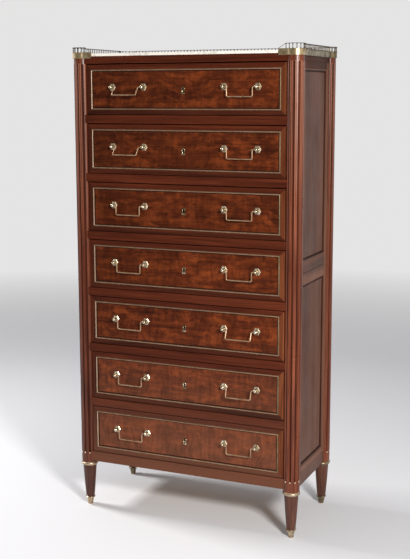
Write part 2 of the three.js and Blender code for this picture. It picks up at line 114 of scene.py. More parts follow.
# Marble and gallery
MARBLE_OVER = 0.002
MARBLE_CORNER_OVER = 0.001
MARBLE_EASE = 0.0012
BAND_INNER = 0.0003
BAND_THICKNESS = 0.0026
BAND_BELOW = 0.006
BAND_ABOVE = 0.004
BAND_FILLET = 0.0022
BAND_HOLLOW = 0.0008
BAND_FRONT_REACH = 0.046
RAMP_LENGTH = 0.023
RAIL_WIDTH = 0.0027
GALLERY_RAIL_HEIGHT = 0.0015
BALUSTER_PITCH = 0.012
BALUSTER_LINE_OUT = 0.0007
# A baluster's outline: shares of its height, and radii
BALUSTER_HEIGHT_SHARES = (-0.06, 0.07, 0.13, 0.24, 0.4, 0.6, 0.76, 0.84, 0.88, 1)
BALUSTER_RADII = (0.0021, 0.0021, 0.0014, 0.0011, 0.0014, 0.001, 0.0012, 0.0016, 0.0022, 0.0022)

# Drawers
FRONT_THICKNESS = 0.018
PANEL_RECESS = 0.002
BEAD_WIDTH = 0.004
BEAD_PROUD = 0.003
BEAD_EDGE = 0.0009
BEAD_FILLET = 0.0006
BEAD_LIP = 0.0008
# A dark line on the panel's edge, partly under the moulding: painted shadow of the moulding
SHADOW_LINE_WIDTH = 0.0034
SIDE_BOARD = 0.009
BOTTOM_BOARD = 0.006
BOTTOM_RAISE = 0.008
TAIL_LENGTH = 0.012
TAIL_COUNT = 4
TAIL_PROUD = 0.00005
TAIL_SPLAY = 0.0022
# Shares of the pitch between two dovetails
TAIL_WIDTH_SHARE = 0.62

# Locks and key plates
KEY_ABOVE_MIDDLE = 0.001
KEY_EYE = 0.0026
KEY_SLOT_HALF = 0.0016
KEY_SLOT_DROP = 0.009
PLATE_EYE = 0.0068
PLATE_WAIST_HALF = 0.0042
PLATE_FOOT_HALF = 0.0064
PLATE_WAIST_DROP = 0.005
PLATE_DROP = 0.0152
PLATE_CREST = 0.0023
# A key plate's section: shares of the way out from the keyhole, and of the crest's height
PLATE_OUT_SHARES = (0, 0, 0.2, 0.45, 0.7, 0.9, 1, 1)
PLATE_RISE_SHARES = (-1, 0.45, 0.8, 1, 0.92, 0.62, 0.3, -0.02)
LOCK_SIZE = (0.062, 0.005, 0.046)
LOCK_ABOVE_MIDDLE = 0.004

# Handles
POST_SPACING = 0.108
POST_OUT = 0.012
ROSETTE = 0.0122
ROSETTE_SIDES = 6
ROSETTE_BED = 0.001
NECK = 0.0032
NECK_WAIST = 0.0026
NECK_FOOT = 0.0009
NECK_RISE = 0.0018
BALL = 0.0056
ROD = 0.0019
# Share of its width that a bail is deep
ROD_DEPTH_SHARE = 0.77
ROD_AT_BALL = 0.0028
BAIL_LEG_INSET = 0.013
BAIL_DROP = 0.029
BAIL_CORNER = 0.004
BAIL_STUB = 0.0015
NUT = 0.005
NUT_THICKNESS = 0.003
BAIL_SWING_PAST = 18

# Rings of a rosette: share of its radius, height off the panel, and the share by which it is six-sided
ROSETTE_RINGS = [
    (0.3, 0, 0),
    (1, 0, 1),
    (1, 0.0009, 1),
    (0.95, 0.0014, 1),
    (0.8, 0.0031, 1),
    (0.76, 0.0031, 0.6),
    (0.72, 0.0026, 0.1),
    (0.62, 0.0016, 0),
    (0.46, 0.0012, 0),
    (0.34, 0.0016, 0),
    (0.3, 0.0024, 0),
    (0.2, 0.0024, 0),
]

# Smoothness of the round shapes
TURNED_STEPS = 56
ARC_STEPS = 8
FLUTE_STEPS = 10
GROOVE_EDGE_STEPS = 2
LAND_STEPS = 3
CORNER_STEPS = 28
EASE_STEPS = 2
ROD_SIDES = 14
POST_STEPS = 32
ROSETTE_STEPS = 60
CREASE = math.radians(38)
EASED_ANGLE = math.radians(20)
EASE_CORNER_SHARE = 0.3
TINY = 1e-9
ANGLE_PLACES = 6

# Each corner's outward directions in X and Y
CORNERS = {
    "front_right": (1, -1),
    "front_left": (-1, -1),
    "back_right": (1, 1),
    "back_left": (-1, 1),
}
SIDES = {"right": 1, "left": -1}
# Along Y, from a drawer's front
OUTWARD = -1
INWARD = 1


# Places read from the frame
def axis_of(corner):
    low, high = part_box(f"collar_{corner}")
    return (low + high) / 2


AXES = {corner: axis_of(corner) for corner in CORNERS}
AXIS = AXES["front_right"]
post_low, post_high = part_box("post_front_right")
side_low, side_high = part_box("side_right")
marble_low, marble_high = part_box("marble_top")

COLUMN_RADIUS = post_high.x - AXIS.x
BLOCK_INNER = AXIS.x - post_low.x
BLOCK_FLAT = side_high.x - AXIS.x
FLUTE_OUT = COLUMN_RADIUS + FLUTE_CENTRE_OUT
COLUMN_TOP = marble_low.z
COLLAR_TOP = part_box("collar_front_right")[1].z
COLUMN_BOTTOM = COLLAR_TOP + COLLAR_GAP
RAIL_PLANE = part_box("base_frame")[0].y
FACE_X = side_high.x
BACK_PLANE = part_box("back_panel")[1].y
DRAWER_COUNT = sum(1 for node in frame["nodes"] if node.endswith("_front"))
# Edges of the boards between the posts' blocks
BETWEEN_POSTS = AXIS.x - BLOCK_INNER - JOINT_GAP
BEHIND_POST = AXIS.y + BLOCK_INNER + JOINT_GAP
BEFORE_POST = AXES["back_right"].y - BLOCK_INNER - JOINT_GAP
BOARD_FRONT = RAIL_PLANE + RAIL_DEPTH + JOINT_GAP


# Building blocks
def arc(centre, radius, start, end, steps=ARC_STEPS):
    """Points of an arc, as (across, up) pairs."""
    turns = [start + (end - start) * i / steps for i in range(steps + 1)]
    return [(centre[0] + radius * math.cos(t), centre[1] + radius * math.sin(t)) for t in turns]


def mirrored(outline):
    """An outline's one half, then its mirror image in the opposite order."""
    return outline + [(-across, up) for across, up in reversed(outline)]


class Shape:
    """Points and faces of a piece in the making; each face has a mark, the number of its material."""

    def __init__(self):
        self.points = []
        self.faces = []
        self.marks = []
        self.flat_sided = False

    def skin(self, rings, mark=lambda ring, side: 0, closed=False):
        """Joins rings into walls, closed on themselves or capped; a ring of one point is a pole."""
        starts = []
        for ring in rings:
            starts.append(len(self.points))
            self.points += [tuple(point) for point in ring]
        pairs = list(zip(range(len(rings)), range(1, len(rings))))
        if closed:
            pairs.append((len(rings) - 1, 0))
        for here, there in pairs:
            count = max(len(rings[here]), len(rings[there]))
            for i in range(count):
                j = (i + 1) % count
                face = []
                for ring, k in ((here, i), (here, j), (there, j), (there, i)):
                    corner = starts[ring] + (k if len(rings[ring]) > 1 else 0)
                    if corner not in face:
                        face.append(corner)
                self.faces.append(face)
                self.marks.append(mark(here, i))
        if not closed:
            for ring, order in ((0, -1), (len(rings) - 1, 1)):
                if len(rings[ring]) > 1:
                    self.faces.append([starts[ring] + k for k in range(len(rings[ring]))][::order])
                    self.marks.append(mark(ring, 0))
        return self

    def lathe(self, profile, place, steps=TURNED_STEPS, form=None, closed=False):
        """Turns (radius, height) points; form(angle, radius, height) may reshape the radius."""
        rings = []
        for radius, height in profile:
            ring = []
            for i in range(steps if radius else 1):
                angle = 2 * math.pi * i / steps
                reach = form(angle, radius, height) if form and radius else radius
                ring.append(place(reach * math.cos(angle), reach * math.sin(angle), height))
            rings.append(ring)
        return self.skin(rings, closed=closed)

    def mitred(self, profile, place, mark):
        """A rectangular frame. Its profile's points are (half width, half height, height off the face)."""
        ways = ((-1, -1), (1, -1), (1, 1), (-1, 1))
        rings = [[place(a * across, b * up, off) for a, b in ways] for across, up, off in profile]
        return self.skin(rings, mark, closed=True)

    def board(self, low, high, ease=FINE_EASE, mark=0):
        """A plank between two opposite corners, with eased edges."""
        low, high = zip(*(sorted(ends) for ends in zip(low, high)))
        edit = bmesh.new()
        bmesh.ops.create_cube(edit, size=1)
        for vertex in edit.verts:
            ends = [round(part + 1 / 2) for part in vertex.co]
            vertex.co = [low[k] + (high[k] - low[k]) * ends[k] for k in range(3)]
        return self.eased(edit, edit.edges[:], ease, mark)

    def slab(self, outline, bottom, top, ease):
        """An outline of (x, y) points raised from one height to another, with its sharp edges eased."""
        edit = bmesh.new()
        low = [edit.verts.new((x, y, bottom)) for x, y in outline]
        high = [edit.verts.new((x, y, top)) for x, y in outline]
        edit.faces.new(low[::-1])
        edit.faces.new(high)
        for i in range(len(outline)):
            j = (i + 1) % len(outline)
            edit.faces.new((low[i], low[j], high[j], high[i]))
        bmesh.ops.recalc_face_normals(edit, faces=edit.faces[:])
        sharp = [edge for edge in edit.edges if edge.calc_face_angle(0) > EASED_ANGLE]
        return self.eased(edit, sharp, ease, clamp_overlap=True)

    def eased(self, edit, edges, ease, mark=0, clamp_overlap=False):
        """Takes over a solid whose edges are eased first."""
        bmesh.ops.bevel(
            edit,
            geom=edges,
            offset=ease,
            segments=EASE_STEPS,
            profile=1 / 2,
            affect="EDGES",
            clamp_overlap=clamp_overlap,
        )
        edit.verts.index_update()
        start = len(self.points)
        self.points += [tuple(vertex.co) for vertex in edit.verts]
        self.faces += [[start + vertex.index for vertex in face.verts] for face in edit.faces]
        self.marks += [mark] * len(edit.faces)
        self.flat_sided = True
        edit.free()
        return self


def piece(name, shape, node, *materials, slot=None, body="carcase"):
    """Makes the mesh object, lets it ride on its body and stand for its CAD node."""
    mesh = bpy.data.meshes.new(name)
    mesh.from_pydata(shape.points, [], shape.faces)
    for polygon, mark in zip(mesh.polygons, shape.marks):
        polygon.material_index = mark
    edit = bmesh.new()
    edit.from_mesh(mesh)
    bmesh.ops.recalc_face_normals(edit, faces=edit.faces[:])
    edit.to_mesh(mesh)
    edit.free()
    mesh.shade_smooth()
    mesh.set_sharp_from_angle(angle=CREASE)
    for material in materials:
        mesh.materials.append(looks[material])
    made = bpy.data.objects.new(name, mesh)
    bpy.context.scene.collection.objects.link(made)
    if shape.flat_sided:
        normals = made.modifiers.new("flat_faces_stay_flat", "WEIGHTED_NORMAL")
        normals.keep_sharp = True
    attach(made, body)
    slot or slots[materials[0]]
    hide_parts(node)


# Colours and shader trees
def tone(red, green, blue):
    """A colour written as it looks, on a scale of 255, in linear light by the sRGB curve."""
    levels = [channel / 255 for channel in (red, green, blue)]
    linear = [v / 12.92 if v <= 0.04045 else ((v + 0.055) / 1.055) ** 2.4 for v in levels]
    return (*linear, 1)


# Places of a mix node's colours among its sockets
MIX_FIRST = 6
MIX_SECOND = 7
MIX_RESULT = 2


class Tree:
    """The node tree of a material or a world, with the coordinates that it reads."""

    def __init__(self, owner, coordinates="Object"):
        owner.use_nodes = True
        self.owner = owner
        self.nodes = owner.node_tree.nodes
        self.links = owner.node_tree.links
        self.place = self.add("ShaderNodeTexCoord", coordinates)

    def plug(self, value, socket):
        if isinstance(value, bpy.types.NodeSocket):
            self.links.new(value, socket)
        else:
            socket.default_value = value

    def add(self, kind, output=0, sockets=None, **settings):
        """Adds a node with its settings, fills its sockets, and gives one of its outputs."""
        node = self.nodes.new(kind)
        for name, value in settings.items():
            setattr(node, name, value)
        for name, value in (sockets or {}).items():
            self.plug(value, node.inputs[name])
        return node.outputs[output]

    def noise(self, scale, place=None, detail=3, rough=0.55, warp=0.0):
        """A noise of one scale per metre, or of one along each axis."""
        scales = scale if isinstance(scale, tuple) else (scale, scale, scale)
        vector = self.add("ShaderNodeMapping", 0, {"Scale": scales, "Vector": place or self.place})
        sockets = {"Vector": vector, "Scale": 1, "Detail": detail, "Roughness": rough, "Distortion": warp}
        return self.add("ShaderNodeTexNoise", "Fac", sockets)

    def math(self, operation, first, second=0.0):
        return self.add("ShaderNodeMath", 0, {0: first, 1: second}, operation=operation)

    def spread(self, value, low, high, to_low=0.0, to_high=1.0, **settings):
        sockets = {"Value": value, "From Min": low, "From Max": high, "To Min": to_low, "To Max": to_high}
        return self.add("ShaderNodeMapRange", "Result", sockets, **settings)

    def ramp(self, value, spots, colours):
        result = self.add("ShaderNodeValToRGB", "Color", {"Fac": value})
        elements = result.node.color_ramp.elements
        while len(elements) < len(spots):
            elements.new(1)
        for element, spot, colour in zip(elements, spots, colours):
            element.position = spot
            element.color = colour
        return result

    def mix(self, factor, first, second, blend="MIX"):
        sockets = {"Factor": factor, MIX_FIRST: first, MIX_SECOND: second}
        return self.add("ShaderNodeMix", MIX_RESULT, sockets, data_type="RGBA", blend_type=blend)

    def part(self, axis):
        """One of the object's own coordinates."""
        return self.add("ShaderNodeSeparateXYZ", axis, {0: self.place})

    def shifted(self, amount, by):
        """The object's coordinates pushed about by a noise."""
        sockets = {0: by, 1: (amount, amount, amount), 2: self.place}
        return self.add("ShaderNodeVectorMath", 0, sockets, operation="MULTIPLY_ADD")

    def bump(self, height, strength, depth, onto=None):
        sockets = {"Strength": strength, "Distance": depth, "Height": height}
        if onto:
            sockets["Normal"] = onto
        return self.add("ShaderNodeBump", 0, sockets)

    def finish(self, colour, roughness, normal, **sockets):
        """Fills the surface shader's own sockets and gives the material back."""
        shader = self.nodes["Principled BSDF"]
        sockets |= {"Base_Color": colour, "Roughness": roughness, "Normal": normal}
        for name, value in sockets.items():
            self.plug(value, shader.inputs[name.replace("_", " ")])
        return self.owner


# Woods, brass, marble and iron
# Scales of the noises in wood per metre, along the grain and across it
BROAD_SCALES = (0.9, 15)
GRAIN_SCALES = (4.5, 170)
PORE_SCALES = (130, 2300)
CLOUD_SCALES = (16, 46)
SHADE_SCALES = (6, 11)
RIPPLE_SCALES = (78, 15)
# Scales of the other noises per metre, and how far two of them push the grain about
GRAIN_DRIFT_SCALE = 2.3
GRAIN_DRIFT = 0.03
CLOUD_DRIFT_SCALES = (7, 7, 9)
CLOUD_DRIFT = 0.07
RUBBED_SCALE = 11
BLOTCH_SCALE = 46
SPECK_SCALE = 420
RUST_SCALE = 60
MARBLE_DRIFT_SCALE = 5
MARBLE_DRIFT = 0.22
MARBLE_CLOUD_SCALE = 4
MARBLE_VEIN_SCALE = 7
# Levels of a noise between which something sets in, and in most the shares of it at both
NOISE_RANGE = (0.3, 0.7)
PORE_RANGE = (0.6, 0.74)
CLOUD_RANGE = (0.46, 0.74, 0, 0.72)
SHADE_RANGE = (0.5, 0.74, 0, 0.35)
RIPPLE_RANGE = (*NOISE_RANGE, 0.74, 1.26)
SPECK_RANGE = (0.58, 0.75)
PATCH_RANGE = (0.25, 0.6, 1, 0.55)
VEIN_RANGE = (0.0, 0.03, 0.55, 0)
MARBLE_ROUGH_RANGE = (*NOISE_RANGE, 0.5, 0.62)
IRON_ROUGH_RANGE = (*NOISE_RANGE, 0.42, 0.66)
PORE_SHARE = 0.6
# How far a wood's roughness goes below and above its polish, and a brass's above it where tarnished
WOOD_ROUGHNESS_FROM_TO = (-0.05, 0.09)
BRASS_ROUGHER = 0.16
# Where the tones of a ramp lie
WOOD_SPOTS = (0.34, 0.5, 0.66)
BRASS_SPOTS = (0.32, 0.5, 0.68)
IRON_SPOTS = (0.35, 0.65)
# Strengths and depths of the fine relief
GRAIN_RELIEF = (0.12, 0.0004)
PORE_RELIEF = (-0.25, 0.0002)
VEIN_RELIEF = (0.05, 0.0003)
RUST_RELIEF = (0.2, 0.0004)
DENT_DEPTH = 0.0003
# The brass of the gallery band, the collars and the shoes darkens in patches between these places,
# measured back from the middle of the chest: tarnish with painted shade
TARNISH_AND_SHADE_FROM_TO = (-0.155, -0.125)
# The veneers are paler and greyer on the low drawers, painted light and sheen from the floor,
# and darker at the left ends of the high ones, painted shade
PAINTED_LIGHT_FROM_TO = (0.25, 1.05)
PAINTED_LIGHT_LEVELS = (1.3, 0.88)
PAINTED_SHEEN_FROM_TO = (0.25, 0.62)
PAINTED_SHEEN_SHARE = 0.5
PAINTED_SHEEN_TONE = tone(104, 66, 48)
PAINTED_SHADE_FROM_TO = (-0.3, 0.1)
PAINTED_LEFT_SHADE = -0.22
# Fades between two heights, as painted light: the heights, the shares at them, and the paler tone.
# Rails and borders are greyer near the floor, painted light from the floor, and the flutes'
# arrises paler near the top, a painted highlight.
FLOOR_LIGHT_FADE = (0.17, 0.42, 0.42, 0), tone(134, 90, 68)
ARRIS_HIGHLIGHT_FADE = (0.85, 1.35, 0, 0.36), tone(200, 142, 114)

# The materials and their slots, by name
looks = {}
slots = {}


def wood(name, axis, *tones, glow=None, stripe=0.5, polish=0.3, shine=0.1, fade=None, slot="mahogany"):
    """Straight-grained wood, its tones from dark to light. A glow gives it a flame veneer's figure, with
    painted light and shade by height and side; a paler tone may be blended in between two heights as painted
    light.
    """
    tree = Tree(bpy.data.materials.new(name))
    colours = [tone(*levels) for levels in tones]

    def along(slow, fast):
        """A scale that is slow along the grain and fast across it."""
        return tuple(slow if k == axis else fast for k in "xyz")

    wander = tree.shifted(GRAIN_DRIFT, tree.noise(GRAIN_DRIFT_SCALE, detail=2))
    broad = tree.noise(along(*BROAD_SCALES), wander)
    grain = tree.noise(along(*GRAIN_SCALES), wander, detail=6, rough=0.62, warp=0.35)
    pores = tree.spread(tree.noise(along(*PORE_SCALES), detail=1), *PORE_RANGE)
    stripes = tree.math("MULTIPLY", broad, stripe)
    blend = tree.math("ADD", stripes, tree.math("MULTIPLY", grain, 1 - stripe))
    colour = tree.ramp(blend, WOOD_SPOTS, colours)
    if glow:
        drift = tree.shifted(CLOUD_DRIFT, tree.noise(CLOUD_DRIFT_SCALES))
        cloud = tree.noise(along(*CLOUD_SCALES), drift, detail=6, rough=0.66)
        shade = tree.noise(along(*SHADE_SCALES), drift, warp=0.5)
        ripple = tree.noise(along(*RIPPLE_SCALES), drift, detail=2, warp=0.6)
        colour = tree.mix(tree.spread(cloud, *CLOUD_RANGE), colour, tone(*glow))
        colour = tree.mix(tree.spread(shade, *SHADE_RANGE), colour, colours[0])
        # Painted light and sheen from the floor on the low drawers, and painted shade at the left ends of
        # the high ones
        height = tree.part("Z")
        sheen_share = tree.spread(height, *PAINTED_SHEEN_FROM_TO, PAINTED_SHEEN_SHARE, 0)
        colour = tree.mix(sheen_share, colour, PAINTED_SHEEN_TONE)
        light_level = tree.spread(height, *PAINTED_LIGHT_FROM_TO, *PAINTED_LIGHT_LEVELS)
        upper = tree.spread(height, *PAINTED_LIGHT_FROM_TO, 0, 1)
        shade_leftward = tree.spread(tree.part("X"), *PAINTED_SHADE_FROM_TO, PAINTED_LEFT_SHADE, 0)
        level = tree.math("ADD", light_level, tree.math("MULTIPLY", upper, shade_leftward))
        level = tree.math("MULTIPLY", level, tree.spread(ripple, *RIPPLE_RANGE))
        colour = tree.mix(1.0, colour, level, "MULTIPLY")
    # Painted light: a paler tone blended in between two heights
    if fade:
        levels, painted_tone = fade
        colour = tree.mix(tree.spread(tree.part("Z"), *levels), colour, painted_tone)
    colour = tree.mix(tree.math("MULTIPLY", pores, PORE_SHARE), colour, colours[0])
    ends = [polish + change for change in WOOD_ROUGHNESS_FROM_TO]
    roughness = tree.spread(tree.noise(RUBBED_SCALE, detail=4), *NOISE_RANGE, *ends)
    normal = tree.bump(pores, *PORE_RELIEF, tree.bump(grain, *GRAIN_RELIEF))
    looks[name] = tree.finish(colour, roughness, normal, Specular_IOR_Level=shine)
    slots[name] = slot


def brass(name, clean, tarnish, bright, worn=0, polish=0.2, dull=None, dents=0.1):
    """Brass with blotches and specks. Behind the front corners a darker colour takes over in patches:
    tarnish with painted shade.
    """
    tree = Tree(bpy.data.materials.new(name))
    colours = [tone(*levels) for levels in (tarnish, clean, bright)]
    blotch = tree.noise(BLOTCH_SCALE, detail=5, rough=0.6)
    speck = tree.noise(SPECK_SCALE)
    colour = tree.ramp(blotch, BRASS_SPOTS, colours)
    colour = tree.mix(tree.spread(speck, *SPECK_RANGE, 0, worn), colour, colours[0])
    # Patchy tarnish with painted shade on the brass behind the front corners
    if dull:
        behind = tree.spread(tree.part("Y"), *TARNISH_AND_SHADE_FROM_TO, 0, 1)
        patchy = tree.math("MULTIPLY", behind, tree.spread(blotch, *PATCH_RANGE))
        colour = tree.mix(patchy, colour, tone(*dull))
    roughness = tree.spread(blotch, *NOISE_RANGE, polish + BRASS_ROUGHER, polish)
    looks[name] = tree.finish(colour, roughness, tree.bump(speck, dents, DENT_DEPTH), Metallic=1.0)
    slots[name] = "brass"


def marble_stone():
    tree = Tree(bpy.data.materials.new("marble"))
    wander = tree.shifted(MARBLE_DRIFT, tree.noise(MARBLE_DRIFT_SCALE))
    cloud = tree.noise(MARBLE_CLOUD_SCALE, wander, detail=5)
    vein = tree.noise(MARBLE_VEIN_SCALE, wander, detail=6, rough=0.62)
    line = tree.math("ABSOLUTE", tree.math("SUBTRACT", vein, 1 / 2))
    colour = tree.ramp(cloud, NOISE_RANGE, [tone(226, 217, 202), tone(247, 241, 230)])
    colour = tree.mix(tree.spread(line, *VEIN_RANGE), colour, tone(186, 176, 162))
    roughness = tree.spread(cloud, *MARBLE_ROUGH_RANGE)
    return tree.finish(colour, roughness, tree.bump(vein, *VEIN_RELIEF), Specular_IOR_Level=0.0)


def iron_of_locks():
    tree = Tree(bpy.data.materials.new("lock_iron"))
    blotch = tree.noise(RUST_SCALE, detail=5)
    colour = tree.ramp(blotch, IRON_SPOTS, [tone(34, 29, 26), tone(84, 76, 68)])
    roughness = tree.spread(blotch, *IRON_ROUGH_RANGE)
    return tree.finish(colour, roughness, tree.bump(blotch, *RUST_RELIEF), Metallic=1.0)


# What some looks share, or hold besides their tones
TURNED = {"stripe": 0.4, "polish": 0.3, "shine": 0.35}
FLAME = {"glow": (148, 70, 32), "stripe": 0.3, "polish": 0.24, "slot": "flame_mahogany"}
SIDE = {"slot": "side_mahogany", "polish": 0.36, "shine": 0.12}
SHADED_HOLLOW = SIDE | {"polish": 0.4, "shine": 0.05}
SHADED_FRIEZE = SIDE | {"stripe": 0.8, "polish": 0.4, "shine": 0.04}
FITTING = {"worn": 0.3, "polish": 0.16, "dents": 0.05}
PLATE = {"worn": 0.5, "polish": 0.14, "dents": 0.05}
TURNED_TONES = ((50, 19, 8), (98, 44, 21), (136, 70, 39))
SIDE_TONES = ((58, 32, 21), (95, 57, 38), (124, 79, 56))
OAK_TONES = ((126, 94, 58), (166, 132, 88), (196, 166, 120))
BAND_TONES = ((196, 174, 134), (148, 126, 88), (228, 208, 170))
COLLAR_TONES = ((190, 168, 140), (146, 124, 98), (224, 206, 182))

# Woods, each with its grain's axis and its dark, middle and light tone
# Rails and cross-banding grow paler towards the floor: painted light from the floor
wood("mahogany_x", "x", (50, 19, 9), (80, 34, 18), (106, 49, 28), fade=FLOOR_LIGHT_FADE)
for grain_axis in "xz":
    wood(f"banding_{grain_axis}", grain_axis, (38, 15, 8), (66, 29, 16), (92, 42, 24), fade=FLOOR_LIGHT_FADE)
wood("mahogany_streak", "z", (62, 26, 12), (104, 54, 30), (136, 78, 46))
wood("mahogany_turned", "z", *TURNED_TONES, **TURNED)
# Lands beside the flutes grow pale towards the top: a painted highlight on the arrises
wood("mahogany_arris", "z", *TURNED_TONES, **TURNED, fade=ARRIS_HIGHLIGHT_FADE)
# Deep in the flutes a darker wood: painted shade
wood("mahogany_groove", "z", (34, 13, 6), (60, 24, 12), (84, 38, 20), polish=0.4)
wood("mahogany_foot", "z", (42, 21, 14), (79, 45, 33), (107, 68, 51), stripe=0.4, polish=0.34, shine=0.3)
# A dark line round each drawer's panel: painted shadow of its moulding
wood("mahogany_seam", "x", (28, 12, 7), (42, 19, 11), (56, 27, 16), polish=0.5)
# The rims of the drawer fronts: painted shade in the gaps round the drawers
wood("mahogany_edge", "x", (30, 12, 6), (46, 20, 11), (62, 29, 17), polish=0.6)
wood("flame_mahogany", "x", (54, 21, 9), (79, 33, 14), (100, 45, 20), **FLAME)
for grain_axis in "yz":
    wood(f"side_mahogany_{grain_axis}", grain_axis, *SIDE_TONES, stripe=0.8, **SIDE)
# The side mouldings' bead: a lighter wood than the panels, a painted highlight
wood("side_moulding", "z", (70, 42, 30), (106, 70, 53), (132, 90, 69), **SIDE)
# The hollows of the side mouldings: a darker wood as painted shade
wood("side_hollow", "z", (30, 15, 10), (50, 27, 19), (68, 38, 28), **SHADED_HOLLOW)
# The top side rails: a darker wood, painted shade under the marble's overhang
wood("side_frieze", "y", (36, 18, 12), (56, 31, 22), (74, 43, 31), **SHADED_FRIEZE)
for grain_axis in "xyz":
    wood(f"oak_{grain_axis}", grain_axis, *OAK_TONES, polish=0.6, slot="oak")

# Brasses, each with its clean, tarnished and bright tone
brass("band_brass", *BAND_TONES, worn=0.35, dull=(62, 55, 34))
brass("collar_brass", *COLLAR_TONES, worn=0.35, polish=0.24, dull=(104, 90, 68))
brass("fitting_brass", (208, 192, 162), (148, 128, 98), (242, 234, 214), **FITTING)
brass("bail_brass", (186, 154, 122), (150, 120, 90), (206, 176, 146), worn=0.2, polish=0.38, dents=0.05)
# Pale brass of the flute tips: a painted glint
brass("tip_brass", (236, 216, 186), (216, 194, 162), (248, 234, 210), polish=0.36, dents=0.02)
brass("line_brass", (176, 144, 116), (160, 130, 102), (192, 162, 134), polish=0.38, dents=0.02)
# The brass mouldings' upright lines: a painted highlight at the left, painted shade at the right
brass("line_brass_left", (216, 186, 156), (200, 168, 138), (232, 204, 176), polish=0.3, dents=0.02)
brass("line_brass_right", (140, 120, 92), (124, 104, 78), (158, 136, 108), polish=0.5, dents=0.02)
brass("plate_brass", (150, 132, 102), (58, 46, 33), (218, 204, 180), **PLATE)
brass("aged_brass", (134, 118, 92), (70, 58, 42), (188, 174, 146), worn=0.6)
brass("gallery_brass", (62, 54, 40), (42, 36, 27), (88, 78, 60), worn=0.4, polish=0.3)
looks |= {"marble": marble_stone(), "lock_iron": iron_of_locks()}
slots |= {"marble": "marble", "lock_iron": "brass"}


# Corner columns: a three-quarter round fluted shaft, squared on its inner side
FLUTE_MIDDLES = [(i - (FLUTE_COUNT - 1) / 2) * FLUTE_SPACING for i in range(FLUTE_COUNT)]


def diagonal(angle, reach=1):
    """Across and depth of a place at an angle from a post's outward diagonal."""
    return reach * math.cos(angle + math.pi / 4), reach * math.sin(angle + math.pi / 4)


def outward_from(corner, across, depth):
    """A place in plan, outward from a post's axis."""
    axis, ways = AXES[corner], CORNERS[corner]
    return axis.x + ways[0] * across, axis.y + ways[1] * depth


def upright(x, y):
    """Turned pieces stand on an axis."""
    return lambda across, depth, height: (x + across, y + depth, height)


def block_ray(angle):
    """How far the post's section reaches at an angle, leaving out the flutes."""
    parts = diagonal(angle)
    square = min((BLOCK_FLAT if part > 0 else BLOCK_INNER) / max(abs(part), TINY) for part in parts)
    inner = min(BLOCK_INNER / -part if part < 0 else COLUMN_RADIUS for part in parts)
    return max(square, min(COLUMN_RADIUS, inner))


def flute_half_angle(radius):
    if radius <= FLUTE_CENTRE_OUT:
        return 0
    cosine = (COLUMN_RADIUS**2 + FLUTE_OUT**2 - radius**2) / (2 * COLUMN_RADIUS * FLUTE_OUT)
    return math.acos(min(1, cosine))


def flute_ray(offset, radius):
    """How far the section reaches inside a flute, at an angle from the flute's middle."""
    aside = FLUTE_OUT * math.sin(offset)
    if radius <= abs(aside):
        return COLUMN_RADIUS
    return min(COLUMN_RADIUS, FLUTE_OUT * math.cos(offset) - math.sqrt(radius**2 - aside**2))


def column_section(radius):
    """(angle, reach) pairs round the post. The grid follows the arrises of the flutes."""
    half = max(flute_half_angle(radius), FLUTE_CLOSED_HALF)
    end = math.pi - math.pi / 4 - math.asin(BLOCK_FLAT / COLUMN_RADIUS)
    section = []
    start = -end
    for middle in FLUTE_MIDDLES:
        land = [start + (middle - half - start) * k / LAND_STEPS for k in range(LAND_STEPS)]
        section += [(angle, block_ray(angle)) for angle in land]
        for k in range(FLUTE_STEPS + 1):
            offset = half * (2 * k / FLUTE_STEPS - 1)
            section.append((middle + offset, flute_ray(offset, radius)))
        start = middle + half
    last = [start + (end - start) * k / LAND_STEPS for k in range(1, LAND_STEPS + 1)]
    return section + [(angle, block_ray(angle)) for angle in [*last, math.pi]]


def flute_rows():
    """(height, flute radius) rows up the column, with round ends to the flutes."""
    first = math.asin(FLUTE_CENTRE_OUT / FLUTE_RADIUS)
    turns = [first + (math.pi / 2 - first) * k / ARC_STEPS for k in range(ARC_STEPS + 1)]
    ends = [(FLUTE_RADIUS * (1 - math.cos(t)), FLUTE_RADIUS * math.sin(t)) for t in turns]
    low = [(FLUTE_BOTTOM + rise, radius) for rise, radius in ends]
    high = [(COLUMN_TOP - FLUTE_TOP_DROP - rise, radius) for rise, radius in reversed(ends)]
    return [(COLUMN_BOTTOM, 0), *low, *high, (COLUMN_TOP, 0)]


def make_column(corner):
    rings = []
    for height, radius in flute_rows():
        plan = [outward_from(corner, *diagonal(*ray)) for ray in column_section(radius)]
        rings.append([(x, y, height) for x, y in plan])
    groove = range(LAND_STEPS + GROOVE_EDGE_STEPS, LAND_STEPS + FLUTE_STEPS - GROOVE_EDGE_STEPS)

    def mark(ring, side):
        """1 deep in a flute, a darker wood as painted shade; 2 on the lands beside one, pale near the top as
        a painted highlight.
        """
        flute, step = divmod(side, LAND_STEPS + FLUTE_STEPS + 1)
        if not 0 < ring < len(rings) - 2:
            return 0
        if step in groove:
            return 1
        before = step == LAND_STEPS - 1 and flute < FLUTE_COUNT
        after = step == 0 and flute > 0
        return 2 if before or after else 0

    woods = "mahogany_turned", "mahogany_groove", "mahogany_arris"
    piece(f"column_{corner}", Shape().skin(rings, mark), f"post_{corner}", *woods)


def make_tips(corner):
    """A small brass stud at the foot of each flute, its pale brass a painted glint."""
    curve = arc((0, FLUTE_BOTTOM), TIP_RADIUS, -math.pi / 2, math.pi / 2)
    profile = [(0, curve[0][1]), *curve[1:-1], (0, curve[-1][1])]
    shape = Shape()
    for middle in FLUTE_MIDDLES:
        spot = outward_from(corner, *diagonal(middle, COLUMN_RADIUS - TIP_SUNK))
        shape.lathe(profile, upright(*spot), steps=2 * ARC_STEPS)
    piece(f"flute_tips_{corner}", shape, f"post_{corner}", "tip_brass")


